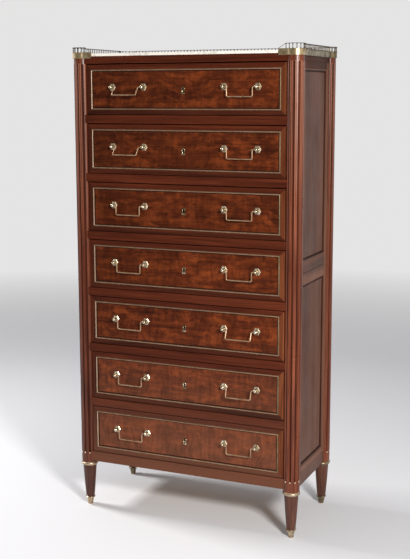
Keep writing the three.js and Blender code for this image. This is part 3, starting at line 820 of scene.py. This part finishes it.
def make_foot(corner):
    shoulder = COLLAR_TOP - COLLAR_HEIGHT - COLLAR_GAP
    low = SABOT_HEIGHT + TENON_GAP
    taper = []
    for i in range(ARC_STEPS + 1):
        share = i / ARC_STEPS
        radius = FOOT_END + (FOOT_TOP - FOOT_END) * share + FOOT_SWELL * math.sin(math.pi * share)
        taper.append((radius, low + (shoulder - FOOT_SHOULDER - low) * share))
    centre = (FOOT_TOP - FOOT_SHOULDER, shoulder - FOOT_SHOULDER)
    tenon = SABOT_BORE - TENON_GAP
    profile = [
        (0, SABOT_FLOOR + TENON_GAP),
        (TENON_TOE, SABOT_FLOOR + TENON_GAP),
        (tenon, SABOT_HEIGHT - SABOT_RIM_HEIGHT),
        (tenon, low),
        *taper,
        *arc(centre, FOOT_SHOULDER, 0, math.pi / 2)[1:],
        (FOOT_NECK, shoulder),
        (FOOT_NECK, COLUMN_BOTTOM),
        (0, COLUMN_BOTTOM),
    ]
    shape = Shape().lathe(profile, upright(*AXES[corner].xy))
    piece(f"foot_{corner}", shape, f"post_{corner}", "mahogany_foot")


def make_collar(corner):
    bottom = COLLAR_TOP - COLLAR_HEIGHT
    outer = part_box(f"collar_{corner}")[1].x - AXES[corner].x
    centre = (outer - COLLAR_BEAD, (bottom + COLLAR_TOP) / 2)
    turn = math.acos((COLLAR_FILLET_OUT - centre[0]) / COLLAR_BEAD)
    profile = [
        (COLLAR_BORE, bottom),
        (COLLAR_FILLET_OUT, bottom),
        *arc(centre, COLLAR_BEAD, -turn, turn, 2 * ARC_STEPS),
        (COLLAR_FILLET_OUT, COLLAR_TOP),
        (COLLAR_BORE, COLLAR_TOP),
    ]
    shape = Shape().lathe(profile, upright(*AXES[corner].xy), closed=True)
    piece(f"collar_ring_{corner}", shape, f"collar_{corner}", "collar_brass")


def make_sabot(corner):
    rim_bottom = SABOT_HEIGHT - SABOT_RIM_HEIGHT
    toe_ring = SABOT_FLOOR / 2
    half = SABOT_RIM_HEIGHT / 2
    bulge = half / 2
    rise = rim_bottom - bulge - toe_ring

    def fluted(angle, radius, height):
        share = (height - toe_ring) / rise
        if not 0 < share < 1:
            return radius
        depth = SABOT_FLUTE_DEPTH * min(1, SABOT_FLUTE_ENDS * math.sin(math.pi * share))
        return radius - depth * (1 + math.cos(SABOT_FLUTES * angle)) / 2

    cup = []
    for i in range(ARC_STEPS + 1):
        share = i / ARC_STEPS
        cup.append((SABOT_TOE + (SABOT_CUP - SABOT_TOE) * share - FINE_EASE, toe_ring + rise * share))
    profile = [
        (0, 0),
        (SABOT_TOE - FINE_EASE, 0),
        (SABOT_TOE, FINE_EASE),
        (SABOT_TOE, toe_ring - FINE_EASE),
        *cup,
        (SABOT_CUP + FINE_EASE, rim_bottom),
        (SABOT_RIM - half, rim_bottom),
        *arc((SABOT_RIM - bulge, rim_bottom + half), bulge, -math.pi / 2, math.pi / 2),
        (SABOT_RIM - half, SABOT_HEIGHT),
        (SABOT_BORE, SABOT_HEIGHT),
        (SABOT_BORE, rim_bottom),
        (TENON_TOE + TENON_GAP, SABOT_FLOOR),
        (0, SABOT_FLOOR),
    ]
    steps = SABOT_FLUTE_STEPS * SABOT_FLUTES
    shape = Shape().lathe(profile, upright(*AXES[corner].xy), steps, fluted)
    piece(f"sabot_shoe_{corner}", shape, f"sabot_{corner}", "collar_brass")


for corner_name in CORNERS:
    for make in (make_column, make_tips, make_foot, make_collar, make_sabot):
        make(corner_name)


# Rails and boards of the carcase
def front_rail(bottom, top):
    """A rail scribed round the front columns and cut back along their posts' blocks."""
    reach = COLUMN_RADIUS + SCRIBE_GAP
    curve = arc((0, 0), reach, math.asin((AXIS.y - RAIL_PLANE) / reach), math.asin(BLOCK_FLAT / reach))
    block = AXIS.x - BLOCK_INNER - SCRIBE_GAP
    right = [(AXIS.x - across, AXIS.y - up) for across, up in curve]
    right += [(block, AXIS.y - BLOCK_FLAT), (block, RAIL_PLANE + RAIL_DEPTH)]
    return Shape().slab(mirrored(right), bottom, top, EASE)


def notched_board(half_width, back, top):
    """A board behind a front rail that fits between the four posts' blocks."""
    right = [(BETWEEN_POSTS, BOARD_FRONT), (BETWEEN_POSTS, BEHIND_POST), (half_width, BEHIND_POST)]
    right += [(half_width, BEFORE_POST), (BETWEEN_POSTS, BEFORE_POST), (BETWEEN_POSTS, back)]
    return Shape().slab(mirrored(right), top - BOARD_THICKNESS, top, FINE_EASE)


def make_ring_frame(name, front_rise, side_look):
    """Rails round four sides and a board between them. The front rail may stop higher."""
    node = f"{name}_frame"
    low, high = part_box(node)
    back = BACK_PLANE - RAIL_DEPTH
    piece(f"{name}_rail_front", front_rail(low.z + front_rise, high.z), node, "mahogany_x")
    shape = Shape().board((-BETWEEN_POSTS, back, low.z), (BETWEEN_POSTS, BACK_PLANE, high.z), EASE)
    piece(f"{name}_rail_back", shape, node, "mahogany_x")
    for side, direction in SIDES.items():
        outer, inner = direction * FACE_X, direction * (FACE_X - RAIL_DEPTH)
        shape = Shape().board((outer, BEHIND_POST, low.z), (inner, BEFORE_POST, high.z), EASE)
        piece(f"{name}_rail_{side}", shape, node, side_look)
    shape = notched_board(FACE_X - RAIL_DEPTH - JOINT_GAP, back - JOINT_GAP, high.z)
    piece(f"{name}_board", shape, node, "oak_x", slot="mahogany")


make_ring_frame("base", APRON_RISE, "side_mahogany_y")
# The top frame's side rails take the darker frieze wood, painted shade
make_ring_frame("top", 0, "side_frieze")

for number in range(1, DRAWER_COUNT):
    divider = f"divider_{number}"
    divider_low, divider_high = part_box(divider)
    piece(f"rail_{number}", front_rail(divider_low.z, divider_high.z), divider, "mahogany_x")
    dust_board = notched_board(divider_high.x, divider_high.y, divider_high.z)
    piece(f"dust_board_{number}", dust_board, divider, "oak_x", slot="mahogany")


# Panelled sides
def make_side(side):
    node = f"side_{side}"
    direction = SIDES[side]
    front, back = side_low.y, side_high.y
    low, high = side_low.z, side_high.z
    middle = (low + high) / 2
    centre = (front + back) / 2
    thickness = side_high.x - side_low.x

    def plank(shape, y, z, outer=0, inner=thickness, ease=EASE, mark=0):
        """A board between two depths under the side's face."""
        x = (direction * (FACE_X - outer), direction * (FACE_X - inner))
        shape.board((x[0], y[0], z[0]), (x[1], y[1], z[1]), ease, mark)

    stiles = Shape()
    plank(stiles, (front, front + STILE), (low, high))
    plank(stiles, (back - STILE, back), (low, high))
    piece(f"{node}_stiles", stiles, node, "side_mahogany_z")

    rails = Shape()
    rail_y = (front + STILE + JOINT_GAP, back - STILE - JOINT_GAP)
    plank(rails, rail_y, (low, low + SIDE_END_RAIL))
    plank(rails, rail_y, (middle - SIDE_MIDDLE_RAIL, middle - JOINT_GAP))
    plank(rails, rail_y, (middle + JOINT_GAP, middle + SIDE_MIDDLE_RAIL))
    # The top rail takes the darker frieze wood, painted shade
    plank(rails, rail_y, (high - SIDE_END_RAIL, high), mark=1)
    piece(f"{node}_rails", rails, node, "side_mahogany_y", "side_frieze")

    start = SIDE_MOULDING_WIDTH * SIDE_HOLLOW_START_SHARE
    curve = arc((start, 0), SIDE_MOULDING_WIDTH - start, math.pi / 2, 0)
    rise = SIDE_MOULDING_RISE * SIDE_HOLLOW_RISE_SHARE / (SIDE_MOULDING_WIDTH - start)
    outline = [(0, -SIDE_FIELD_DROP), (0, SIDE_MOULDING_RISE - FINE_EASE), (FINE_EASE, SIDE_MOULDING_RISE)]
    outline += [(inset, off * rise) for inset, off in curve[:-1]]
    outline += [(SIDE_MOULDING_WIDTH, -SIDE_FIELD_DROP)]
    half_width = (back - front) / 2 - STILE
    margin = SIDE_MOULDING_WIDTH + SIDE_FIELD_MARGIN
    depth = SIDE_RECESS + SIDE_FIELD_DROP
    joint = centre + SIDE_JOINT_BEHIND_MIDDLE
    panels = [
        ("lower", low + SIDE_END_RAIL, middle - SIDE_MIDDLE_RAIL),
        ("upper", middle + SIDE_MIDDLE_RAIL, high - SIDE_END_RAIL),
    ]
    for level, bottom, top in panels:

        def place(across, up, off, height=(bottom + top) / 2):
            return (direction * (FACE_X - SIDE_RECESS + off), centre + across, height + up)

        half_height = (top - bottom) / 2
        profile = [(half_width - inset, half_height - inset, off) for inset, off in outline]
        # Rings past the fillet form the hollow, painted shade in a darker wood
        moulding = Shape().mitred(profile, place, lambda ring, side: int(ring >= SIDE_FILLET_RINGS))
        piece(f"{node}_moulding_{level}", moulding, node, "side_moulding", "side_hollow")

        boards = Shape()
        field_z = (bottom + margin, top - margin)
        tongue_z = (bottom + JOINT_GAP, top - JOINT_GAP)
        spans = (
            (front + STILE, margin, joint, JOINT_GAP),
            (joint, JOINT_GAP, back - STILE, margin),
        )
        for near, near_margin, far, far_margin in spans:
            field_y = (near + near_margin, far - far_margin)
            tongue_y = (near + JOINT_GAP, far - JOINT_GAP)
            plank(boards, field_y, field_z, SIDE_RECESS, depth + FINE_EASE, FINE_EASE)
            plank(boards, tongue_y, tongue_z, depth, depth + SIDE_PANEL_BACK, FINE_EASE / 2)
        piece(f"{node}_panel_{level}", boards, node, "side_mahogany_z")


for side_name in SIDES:
    make_side(side_name)


# Framed back in the secondary wood
def make_back():
    low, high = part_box("back_panel")
    middle = (low.z + high.z) / 2
    outer = high.x
    inner = outer - BACK_FRAME
    edge = inner - JOINT_GAP
    half = BACK_FRAME / 2
    levels = [(low.z, low.z + BACK_FRAME), (middle - half, middle + half), (high.z - BACK_FRAME, high.z)]
    stiles = Shape()
    for left, right in ((-outer, -inner), (inner, outer)):
        stiles.board((left, low.y, low.z), (right, high.y, high.z), EASE)
    piece("back_stiles", stiles, "back_panel", "oak_z")
    rails = Shape()
    for bottom, top in levels:
        rails.board((-edge, low.y, bottom), (edge, high.y, top), EASE)
    piece("back_rails", rails, "back_panel", "oak_x")
    width = 2 * edge / BACK_BOARDS
    for name, below, above in zip(("lower", "upper"), levels, levels[1:]):
        boards = Shape()
        for k in range(BACK_BOARDS):
            left = -edge + k * width
            spot = (left, low.y, below[1] + JOINT_GAP)
            end = (left + width - JOINT_GAP, high.y - BACK_RECESS, above[0] - JOINT_GAP)
            boards.board(spot, end, EASE)
        piece(f"back_boards_{name}", boards, "back_panel", "oak_z")


make_back()

# Marble top and its gallery
MARBLE_CORNER = COLUMN_RADIUS + MARBLE_CORNER_OVER
FRONT_OUT = AXIS.y - RAIL_PLANE + MARBLE_OVER
SIDE_OUT = BLOCK_FLAT + MARBLE_OVER


def side_outline(side, grow):
    """The marble's edge at one side, from the front edge round both corners to the back edge."""
    line = []
    for corner, edge_out, order in ((f"front_{side}", FRONT_OUT, 1), (f"back_{side}", SIDE_OUT, -1)):
        radius = MARBLE_CORNER + grow
        start = math.pi / 2 + math.acos((edge_out + grow) / radius)
        end = -math.acos((SIDE_OUT + grow) / radius)
        curve = arc((0, 0), radius, start, end, CORNER_STEPS)
        line += [outward_from(corner, across, depth) for across, depth in curve[::order]]
    return line


def gallery_line(grow, reach):
    """From the gallery's front left end round the back to its front right end."""
    return mirrored([(reach - AXIS.x, AXIS.y - FRONT_OUT - grow), *side_outline("left", grow)])


def swept(profile, reach):
    """A closed (outward, height) profile swept along the gallery's line."""
    lines = [gallery_line(grow, reach) for grow, _ in profile]
    rings = [[(*spot, height) for spot, (_, height) in zip(spots, profile)] for spots in zip(*lines)]
    return Shape().skin(rings)


def spaced(line, pitch):
    """Points at even steps along a line."""
    steps = [math.dist(a, b) for a, b in zip(line, line[1:])]
    total = sum(steps)
    count = round(total / pitch)
    spots = []
    travelled = 0
    k = 0
    for i in range(count + 1):
        goal = total * i / count
        while k < len(steps) - 1 and travelled + steps[k] < goal:
            travelled += steps[k]
            k += 1
        share = (goal - travelled) / steps[k]
        (x0, y0), (x1, y1) = line[k], line[k + 1]
        spots.append((x0 + (x1 - x0) * share, y0 + (y1 - y0) * share))
    return spots


def make_gallery():
    bottom = marble_low.z - BAND_BELOW
    top = marble_high.z + BAND_ABOVE
    outer = BAND_INNER + BAND_THICKNESS
    hollow = outer - BAND_HOLLOW
    fillet = [
        (BAND_INNER, 0),
        (outer - FINE_EASE, 0),
        (outer, FINE_EASE),
        (outer, BAND_FILLET - FINE_EASE),
        (hollow, BAND_FILLET),
    ]
    profile = [(out, bottom + up) for out, up in fillet] + [(out, top - up) for out, up in fillet[::-1]]
    piece("gallery_band", swept(profile, BAND_FRONT_REACH), "gallery", "band_brass")

    half = GALLERY_RAIL_HEIGHT / 2
    rail_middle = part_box("gallery")[1].z - half
    centre = BAND_INNER + BAND_THICKNESS / 2
    reach = BAND_FRONT_REACH - RAMP_LENGTH
    drop = rail_middle - half - top
    oval = arc((0, 0), 1, 0, 2 * math.pi)[:-1]
    profile = [(centre + RAIL_WIDTH / 2 * across, rail_middle + half * up) for across, up in oval]
    rail = swept(profile, reach)
    front = AXIS.y - FRONT_OUT
    for direction in (-1, 1):
        low_x = direction * (AXIS.x - BAND_FRONT_REACH)
        high_x = direction * (AXIS.x - reach)
        low_ring = [(low_x, front - grow, height - drop) for grow, height in profile]
        rail.skin([low_ring, [(high_x, front - grow, height) for grow, height in profile]])
    piece("gallery_rail", rail, "gallery", "gallery_brass")

    shape = Shape()
    rise = rail_middle - top
    outline = [(radius, top + rise * share) for share, radius in zip(BALUSTER_HEIGHT_SHARES, BALUSTER_RADII)]
    for x, y in spaced(gallery_line(BALUSTER_LINE_OUT, reach), BALUSTER_PITCH):
        shape.lathe(outline, upright(x, y), steps=ARC_STEPS)
    piece("gallery_balusters", shape, "gallery", "gallery_brass")


slab_shape = Shape().slab(mirrored(side_outline("right", 0)), marble_low.z, marble_high.z, MARBLE_EASE)
piece("marble_slab", slab_shape, "marble_top", "marble")
make_gallery()


# Drawers
def ray_to(outline, angle):
    """How far a star-shaped outline of (across, up) points reaches from its centre at an angle."""
    way = (math.cos(angle), math.sin(angle))
    reach = 0
    for (x0, y0), (x1, y1) in zip(outline, outline[1:] + outline[:1]):
        edge = (x1 - x0, y1 - y0)
        cross = way[0] * edge[1] - way[1] * edge[0]
        if abs(cross) < TINY**2:
            continue
        distance = (x0 * edge[1] - y0 * edge[0]) / cross
        share = (x0 * way[1] - y0 * way[0]) / cross
        if distance > 0 and -TINY <= share <= 1 + TINY:
            reach = max(reach, distance)
    return reach


KEY_SLOT = mirrored([(-KEY_SLOT_HALF, 0), (-KEY_SLOT_HALF, -KEY_SLOT_DROP)])
PLATE_SKIRT = mirrored(
    [
        (-PLATE_WAIST_HALF, 0),
        (-PLATE_WAIST_HALF, -PLATE_WAIST_DROP),
        (-PLATE_FOOT_HALF, -PLATE_DROP + PLATE_CREST),
        (-PLATE_FOOT_HALF + PLATE_CREST, -PLATE_DROP),
    ]
)


def facing(x, y, z, way):
    """Places across, up and off a spot on the front, outward or inward."""
    return lambda across, up, off: (x + across, y + way * off, z + up)


def keyhole_reach(angle):
    return max(KEY_EYE, ray_to(KEY_SLOT, angle))


def plate_reach(angle):
    return max(PLATE_EYE, ray_to(PLATE_SKIRT, angle))


def key_angles(corners):
    """Angles round the keyhole, with its own corners and those of an outline among them."""
    joint = math.asin(KEY_SLOT_HALF / KEY_EYE)
    special = [math.atan2(y, x) for x, y in corners + KEY_SLOT[1:3]]
    special += [-math.pi / 2 - joint, -math.pi / 2 + joint]
    even = [math.pi * (2 * i / TURNED_STEPS - 1) for i in range(TURNED_STEPS)]
    return sorted({round(angle, ANGLE_PLACES) for angle in even + special})


class Drawer:
    """One drawer's sizes, read from the frame, and its pieces."""

    def __init__(self, number):
        self.name = f"drawer_{number}"
        low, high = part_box(f"{self.name}_front")
        bead_low, bead_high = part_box(f"{self.name}_moulding")
        self.half_size = (high.x, (high.z - low.z) / 2)
        self.bead_size = (bead_high.x, (bead_high.z - bead_low.z) / 2)
        self.opening = [size - BEAD_WIDTH + BEAD_LIP for size in self.bead_size]
        self.middle = (high.z + low.z) / 2
        self.face = bead_high.y
        self.panel_face = self.face + PANEL_RECESS
        self.on_face = facing(0, self.face, self.middle, OUTWARD)
        self.joints = [j for j in frame["joints"] if j["child"].startswith(f"bail_{number}_")]

    def add(self, part, shape, *materials, node="front", body=None):
        piece(f"{self.name}_{part}", shape, f"{self.name}_{node}", *materials, body=body or self.name)

    def key_ring(self, turns, reach, off):
        """A ring round the keyhole; reach(angle) says how far out it lies."""
        rays = [(turn, reach(turn)) for turn in turns]
        return [self.on_face(r * math.cos(t), KEY_ABOVE_MIDDLE + r * math.sin(t), off) for t, r in rays]

    def make_border(self):
        """Mitred cross-banding round the panel: level grain above and below, upright at the ends."""
        corner = EASE * EASE_CORNER_SHARE
        insets = [(0, -FRONT_THICKNESS), (0, -EASE), (corner, -corner), (EASE, 0)]
        profile = [(*(size - inset for size in self.half_size), off) for inset, off in insets]
        profile += [(*self.opening, 0), (*self.opening, -FRONT_THICKNESS)]
        # The rim round the front takes a dark wood, painted shade in the gap round the drawer
        shape = Shape().mitred(profile, self.on_face, lambda ring, side: side if ring else 4)
        shape.flat_sided = True
        woods = "banding_x", "mahogany_streak", "mahogany_x", "banding_z", "mahogany_edge"
        self.add("border", shape, *woods)

    def make_panel(self):
        """The figured panel, pierced by the keyhole, with a dark line beside the moulding, painted shadow of
        the moulding.
        """
        up = KEY_ABOVE_MIDDLE

        def corners(inset):
            across, tall = (size - inset for size in self.opening)
            return [(across, tall - up), (-across, tall - up), (-across, -tall - up), (across, -tall - up)]

        outer, inner = corners(SCRIBE_GAP), corners(SCRIBE_GAP + SHADOW_LINE_WIDTH)
        turns = key_angles(outer + inner)

        edge, shadow_line = partial(ray_to, outer), partial(ray_to, inner)
        front, back = -PANEL_RECESS, -FRONT_THICKNESS
        reaches = [(edge, front), (edge, back), (keyhole_reach, back), (keyhole_reach, front), (shadow_line, front)]
        rings = [self.key_ring(turns, reach, off) for reach, off in reaches]
        # The last strip, next to the moulding, is the painted shadow
        shape = Shape().skin(rings, lambda here, side: int(here == len(rings) - 1), closed=True)
        self.add("panel", shape, "flame_mahogany", "mahogany_seam")

    def make_bead(self):
        """The brass moulding: a fillet, then an astragal that drops to the panel."""
        half = (BEAD_WIDTH - BEAD_FILLET) / 2
        rise = BEAD_PROUD - BEAD_EDGE
        lip = BEAD_WIDTH - BEAD_LIP
        curve = arc((0, 0), 1, math.pi, 0)
        outline = [(0, 0), (0, BEAD_EDGE)]
        outline += [(BEAD_FILLET + half * (1 + across), BEAD_EDGE + rise * up) for across, up in curve]
        outline += [(BEAD_WIDTH, -PANEL_RECESS), (lip, -PANEL_RECESS), (lip, 0)]
        profile = [(*(size - inset for size in self.bead_size), off) for inset, off in outline]
        # The upright lines have their own brass: the left one lighter, a painted highlight, and the right
        # one darker, painted shade
        shape = Shape().mitred(profile, self.on_face, lambda ring, side: (0, 1, 0, 2)[side])
        lines = "line_brass", "line_brass_right", "line_brass_left"
        self.add("bead", shape, *lines, node="moulding")

    def make_key_plate(self):
        turns = key_angles([])
        rings = []
        for out_share, rise_share in zip(PLATE_OUT_SHARES, PLATE_RISE_SHARES):

            def reach(angle, share=out_share):
                inner = keyhole_reach(angle)
                return inner + (plate_reach(angle) - inner) * share

            rings.append(self.key_ring(turns, reach, PLATE_CREST * rise_share - PANEL_RECESS))
        self.add("key_plate", Shape().skin(rings, closed=True), "plate_brass")

    def make_lock(self):
        width, depth, height = LOCK_SIZE
        back = self.face + FRONT_THICKNESS
        low = self.middle + LOCK_ABOVE_MIDDLE - height / 2
        shape = Shape().board((-width / 2, back, low), (width / 2, back + depth, low + height))
        self.add("lock", shape, "lock_iron")

    def post_spots(self):
        """Across and height of the four handle posts."""
        for joint in self.joints:
            for end in (-1, 1):
                yield joint["pos_m"][0] + end * POST_SPACING / 2, joint["pos_m"][2]

    def make_rosettes(self):
        """Six-sided plates with a bevelled rim and a dished middle, one under each handle post."""
        half_sector = math.pi / ROSETTE_SIDES
        inscribed = ROSETTE * math.cos(half_sector)
        sided = {(share * inscribed, rise): sided_share for share, rise, sided_share in ROSETTE_RINGS}

        def six_sided(angle, radius, height):
            share = sided[radius, height]
            sector = angle % (2 * half_sector) - half_sector
            return radius * (share / math.cos(sector) + 1 - share)

        shape = Shape()
        for x, z in self.post_spots():
            shape.lathe(sided, facing(x, self.panel_face, z, OUTWARD), ROSETTE_STEPS, six_sided)
        self.add("rosettes", shape, "fitting_brass")

    def make_posts(self):
        """Ball-headed posts, with a nut inside the drawer on each."""
        ball = arc((0, POST_OUT), BALL, -math.acos(NECK_WAIST / BALL), math.pi / 2, 2 * ARC_STEPS)[:-1]
        post = [
            (0, ROSETTE_BED),
            (NECK, ROSETTE_BED),
            (NECK, ROSETTE_BED + NECK_FOOT),
            (NECK_WAIST, ROSETTE_BED + NECK_RISE),
            *ball,
            (0, POST_OUT + BALL),
        ]
        end = NUT / 2
        nut = [
            (0, 0),
            (NUT, 0),
            (NUT, NUT_THICKNESS - FINE_EASE),
            (NUT - FINE_EASE, NUT_THICKNESS),
            (end, NUT_THICKNESS),
            (end, NUT_THICKNESS + end / 2),
            (0, NUT_THICKNESS + end / 2),
        ]
        posts = Shape()
        nuts = Shape()
        for x, z in self.post_spots():
            posts.lathe(post, facing(x, self.panel_face, z, OUTWARD), steps=POST_STEPS)
            nuts.lathe(nut, facing(x, self.face + FRONT_THICKNESS, z, INWARD), steps=ROSETTE_SIDES)
        self.add("posts", posts, "fitting_brass")
        self.add("nuts", nuts, "aged_brass")

    def make_bails(self):
        """Each bail is one rod: a bar, two legs, and two ends that thicken into the balls."""
        leg = POST_SPACING / 2 - BAIL_LEG_INSET
        bend = BAIL_CORNER
        right = arc((leg - bend, bend - BAIL_DROP), bend, -math.pi / 2, 0)
        right += arc((leg + bend, -bend), bend, math.pi, math.pi / 2)
        right += [(POST_SPACING / 2 - BALL, 0), (POST_SPACING / 2 - BAIL_STUB, 0)]
        line = [(-x, z) for x, z in reversed(right)] + right
        for joint in self.joints:
            lean = math.radians(-joint["range_deg"][0] - BAIL_SWING_PAST)
            rings = []
            for i, (x, z) in enumerate(line):
                before, after = Vector(line[max(i - 1, 0)]), Vector(line[min(i + 1, len(line) - 1)])
                way = (after - before).normalized()
                share = max(0, (abs(x) - leg) / (POST_SPACING / 2 - leg))
                radius = ROD + (ROD_AT_BALL - ROD) * share
                ring = []
                for k in range(ROD_SIDES):
                    turn = 2 * math.pi * k / ROD_SIDES
                    spot = Vector((x, 0, z)) + Vector((way.y, 0, -way.x)) * radius * math.cos(turn)
                    spot.y += radius * ROD_DEPTH_SHARE * math.sin(turn)
                    spot.rotate(Matrix.Rotation(-lean, 3, "X"))
                    ring.append(Vector(joint["pos_m"]) + spot)
                rings.append(ring)
            side = joint["child"].rsplit("_", 1)[1]
            shape = Shape().skin(rings)
            self.add(f"handle_{side}", shape, "bail_brass", node=f"bail_{side}", body=joint["child"])

    def make_box(self):
        """Oak sides, back and bottom, with the sides' dovetails lapped into the front."""
        low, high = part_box(f"{self.name}_box")
        pitch = (high.z - low.z) / TAIL_COUNT
        tip = pitch * TAIL_WIDTH_SHARE / 2
        root = tip - TAIL_SPLAY
        sides = Shape()
        for direction in (-1, 1):
            outer, inner = direction * high.x, direction * (high.x - SIDE_BOARD)
            sides.board((outer, low.y, low.z), (inner, high.y, high.z))
            for k in range(TAIL_COUNT):
                middle = low.z + (k + 1 / 2) * pitch
                outline = [(low.y, middle - root), (low.y - TAIL_LENGTH, middle - tip)]
                outline += [(low.y - TAIL_LENGTH, middle + tip), (low.y, middle + root)]
                ends = (direction * (high.x + TAIL_PROUD), inner)
                sides.skin([[(x, y, z) for y, z in outline] for x in ends])
        self.add("sides", sides, "oak_y", node="box")
        edge = high.x - SIDE_BOARD - JOINT_GAP
        floor = low.z + BOTTOM_RAISE
        rear = high.y - SIDE_BOARD
        back = Shape().board((-edge, rear, low.z), (edge, high.y, high.z - BOTTOM_RAISE))
        bottom = Shape().board((-edge, low.y, floor), (edge, rear - JOINT_GAP, floor + BOTTOM_BOARD))
        self.add("back", back, "oak_x", node="box")
        self.add("bottom", bottom, "oak_x", node="box")


for drawer_number in range(1, DRAWER_COUNT + 1):
    drawer = Drawer(drawer_number)
    drawer.make_border()
    drawer.make_panel()
    drawer.make_bead()
    drawer.make_key_plate()
    drawer.make_lock()
    drawer.make_rosettes()
    drawer.make_posts()
    drawer.make_bails()
    drawer.make_box()


# Floor, light and camera
FLOOR_HALF = 9.0
FLOOR_SOLID_RADIUS = 2.2
FLOOR_FADED_RADIUS = 5.0
FLOOR_TONE = tone(232, 232, 234)
FLOOR_ROUGHNESS = 0.85
PAPER_SCALE = 90
PAPER_RELIEF = (0.03, 0.001)
BACKDROP_TONE = tone(229, 228, 228)
STUDIO_DARK_TONE = tone(150, 149, 149)
DARK_WAY = Vector((-0.1, -1.0, 0.0)).normalized()
# Where the studio starts to darken and is darkest, as cosines from its dark side
DARK_START_SHARE = 0.05
DARK_END_SHARE = 0.6
AMBIENT_TONE = tone(145, 145, 148)


def make_floor():
    mesh = bpy.data.meshes.new("floor")
    half = FLOOR_HALF
    corners = [(-half, -half, 0), (half, -half, 0), (half, half, 0), (-half, half, 0)]
    mesh.from_pydata(corners, [], [(0, 1, 2, 3)])
    tree = Tree(bpy.data.materials.new("floor_paper"))
    reach = tree.add("ShaderNodeVectorMath", "Value", {0: tree.place}, operation="LENGTH")
    shown = tree.spread(reach, FLOOR_SOLID_RADIUS, FLOOR_FADED_RADIUS, 1, 0)
    normal = tree.bump(tree.noise(PAPER_SCALE), *PAPER_RELIEF)
    mesh.materials.append(tree.finish(FLOOR_TONE, FLOOR_ROUGHNESS, normal, Alpha=shown))
    floor = bpy.data.objects.new("floor", mesh)
    bpy.context.scene.collection.objects.link(floor)


def make_world():
    """A pale backdrop that darkens towards the camera's side of the studio, over a plain soft light."""
    world = bpy.data.worlds.new("studio")
    bpy.context.scene.world = world
    tree = Tree(world, "Generated")
    sockets = {0: tree.place, 1: DARK_WAY}
    towards = tree.add("ShaderNodeVectorMath", "Value", sockets, operation="DOT_PRODUCT")
    darkness = tree.spread(towards, DARK_START_SHARE, DARK_END_SHARE, interpolation_type="SMOOTHSTEP")
    backdrop = tree.mix(darkness, BACKDROP_TONE, STUDIO_DARK_TONE)
    rays = tree.nodes.new("ShaderNodeLightPath").outputs
    seen = tree.math("MAXIMUM", rays["Is Camera Ray"], rays["Is Glossy Ray"])
    seen = tree.math("MAXIMUM", seen, rays["Is Transmission Ray"])
    ambient = tree.nodes["Background"]
    ambient.inputs["Color"].default_value = AMBIENT_TONE
    shown = tree.add("ShaderNodeBackground", 0, {"Color": backdrop})
    chosen = tree.add("ShaderNodeMixShader", 0, {"Fac": seen, 1: ambient.outputs[0], 2: shown})
    tree.plug(chosen, tree.nodes["World Output"].inputs["Surface"])


LAMP_AIM = Vector((0.0, 0.0, 0.6))
# From the chest's foot towards each lamp, per metre of its height
KEY_LAMP_WAY = Vector((1.13, -1.19, 1.0))
LEFT_LAMP_WAY = Vector((-1.03, 0.0, 1.0))
KEY_LAMP_HEIGHT = 2.0
LEFT_LAMP_HEIGHT = 2.2
# A fairly hard key from the right front, and a lamp level with the chest on its left:
# the place, the size, the power and the colour of each
LAMPS = {
    "key": (KEY_LAMP_WAY * KEY_LAMP_HEIGHT, 0.5, 116, (1.0, 0.99, 0.97)),
    "left": (LEFT_LAMP_WAY * LEFT_LAMP_HEIGHT, 0.6, 60, (1.0, 1.0, 1.0)),
}


def make_lamps():
    for name, (spot, size, power, colour) in LAMPS.items():
        lamp = bpy.data.lights.new(name, "AREA")
        lamp.shape = "RECTANGLE"
        lamp.size = lamp.size_y = size
        lamp.energy = power
        lamp.color = colour
        made = bpy.data.objects.new(name, lamp)
        made.location = spot
        made.rotation_mode = "QUATERNION"
        made.rotation_quaternion = (LAMP_AIM - spot).to_track_quat("-Z", "Y")
        bpy.context.scene.collection.objects.link(made)


# The photographer's standing point and lens
CAMERA_SPOT = Vector((1.3787, -3.1420, 1.3567))
CAMERA_YAW = -0.4128
CAMERA_PITCH = -0.1574
CAMERA_ROLL = -0.0025
CAMERA_LENS = 69.164
CAMERA_SENSOR = 36.0
CAMERA_SHIFT = (-0.00061, -0.02766)


def make_camera():
    data = bpy.data.cameras.new("camera")
    data.sensor_fit = "AUTO"
    data.sensor_width = CAMERA_SENSOR
    data.lens = CAMERA_LENS
    data.shift_x, data.shift_y = CAMERA_SHIFT
    camera = bpy.data.objects.new("camera", data)
    flat = math.cos(CAMERA_PITCH)
    ahead = Vector((math.sin(CAMERA_YAW) * flat, math.cos(CAMERA_YAW) * flat, math.sin(CAMERA_PITCH)))
    level = Vector((math.cos(CAMERA_YAW), -math.sin(CAMERA_YAW), 0))
    up = level.cross(ahead)
    right = level * math.cos(CAMERA_ROLL) + up * math.sin(CAMERA_ROLL)
    top = up * math.cos(CAMERA_ROLL) - level * math.sin(CAMERA_ROLL)
    turned = Matrix((right, top, -ahead)).transposed()
    camera.matrix_world = Matrix.Translation(CAMERA_SPOT) @ turned.to_4x4()
    bpy.context.scene.collection.objects.link(camera)
    bpy.context.scene.camera = camera


make_floor()
make_world()
make_lamps()
make_camera()
bpy.context.scene.view_settings.view_transform = "Standard"
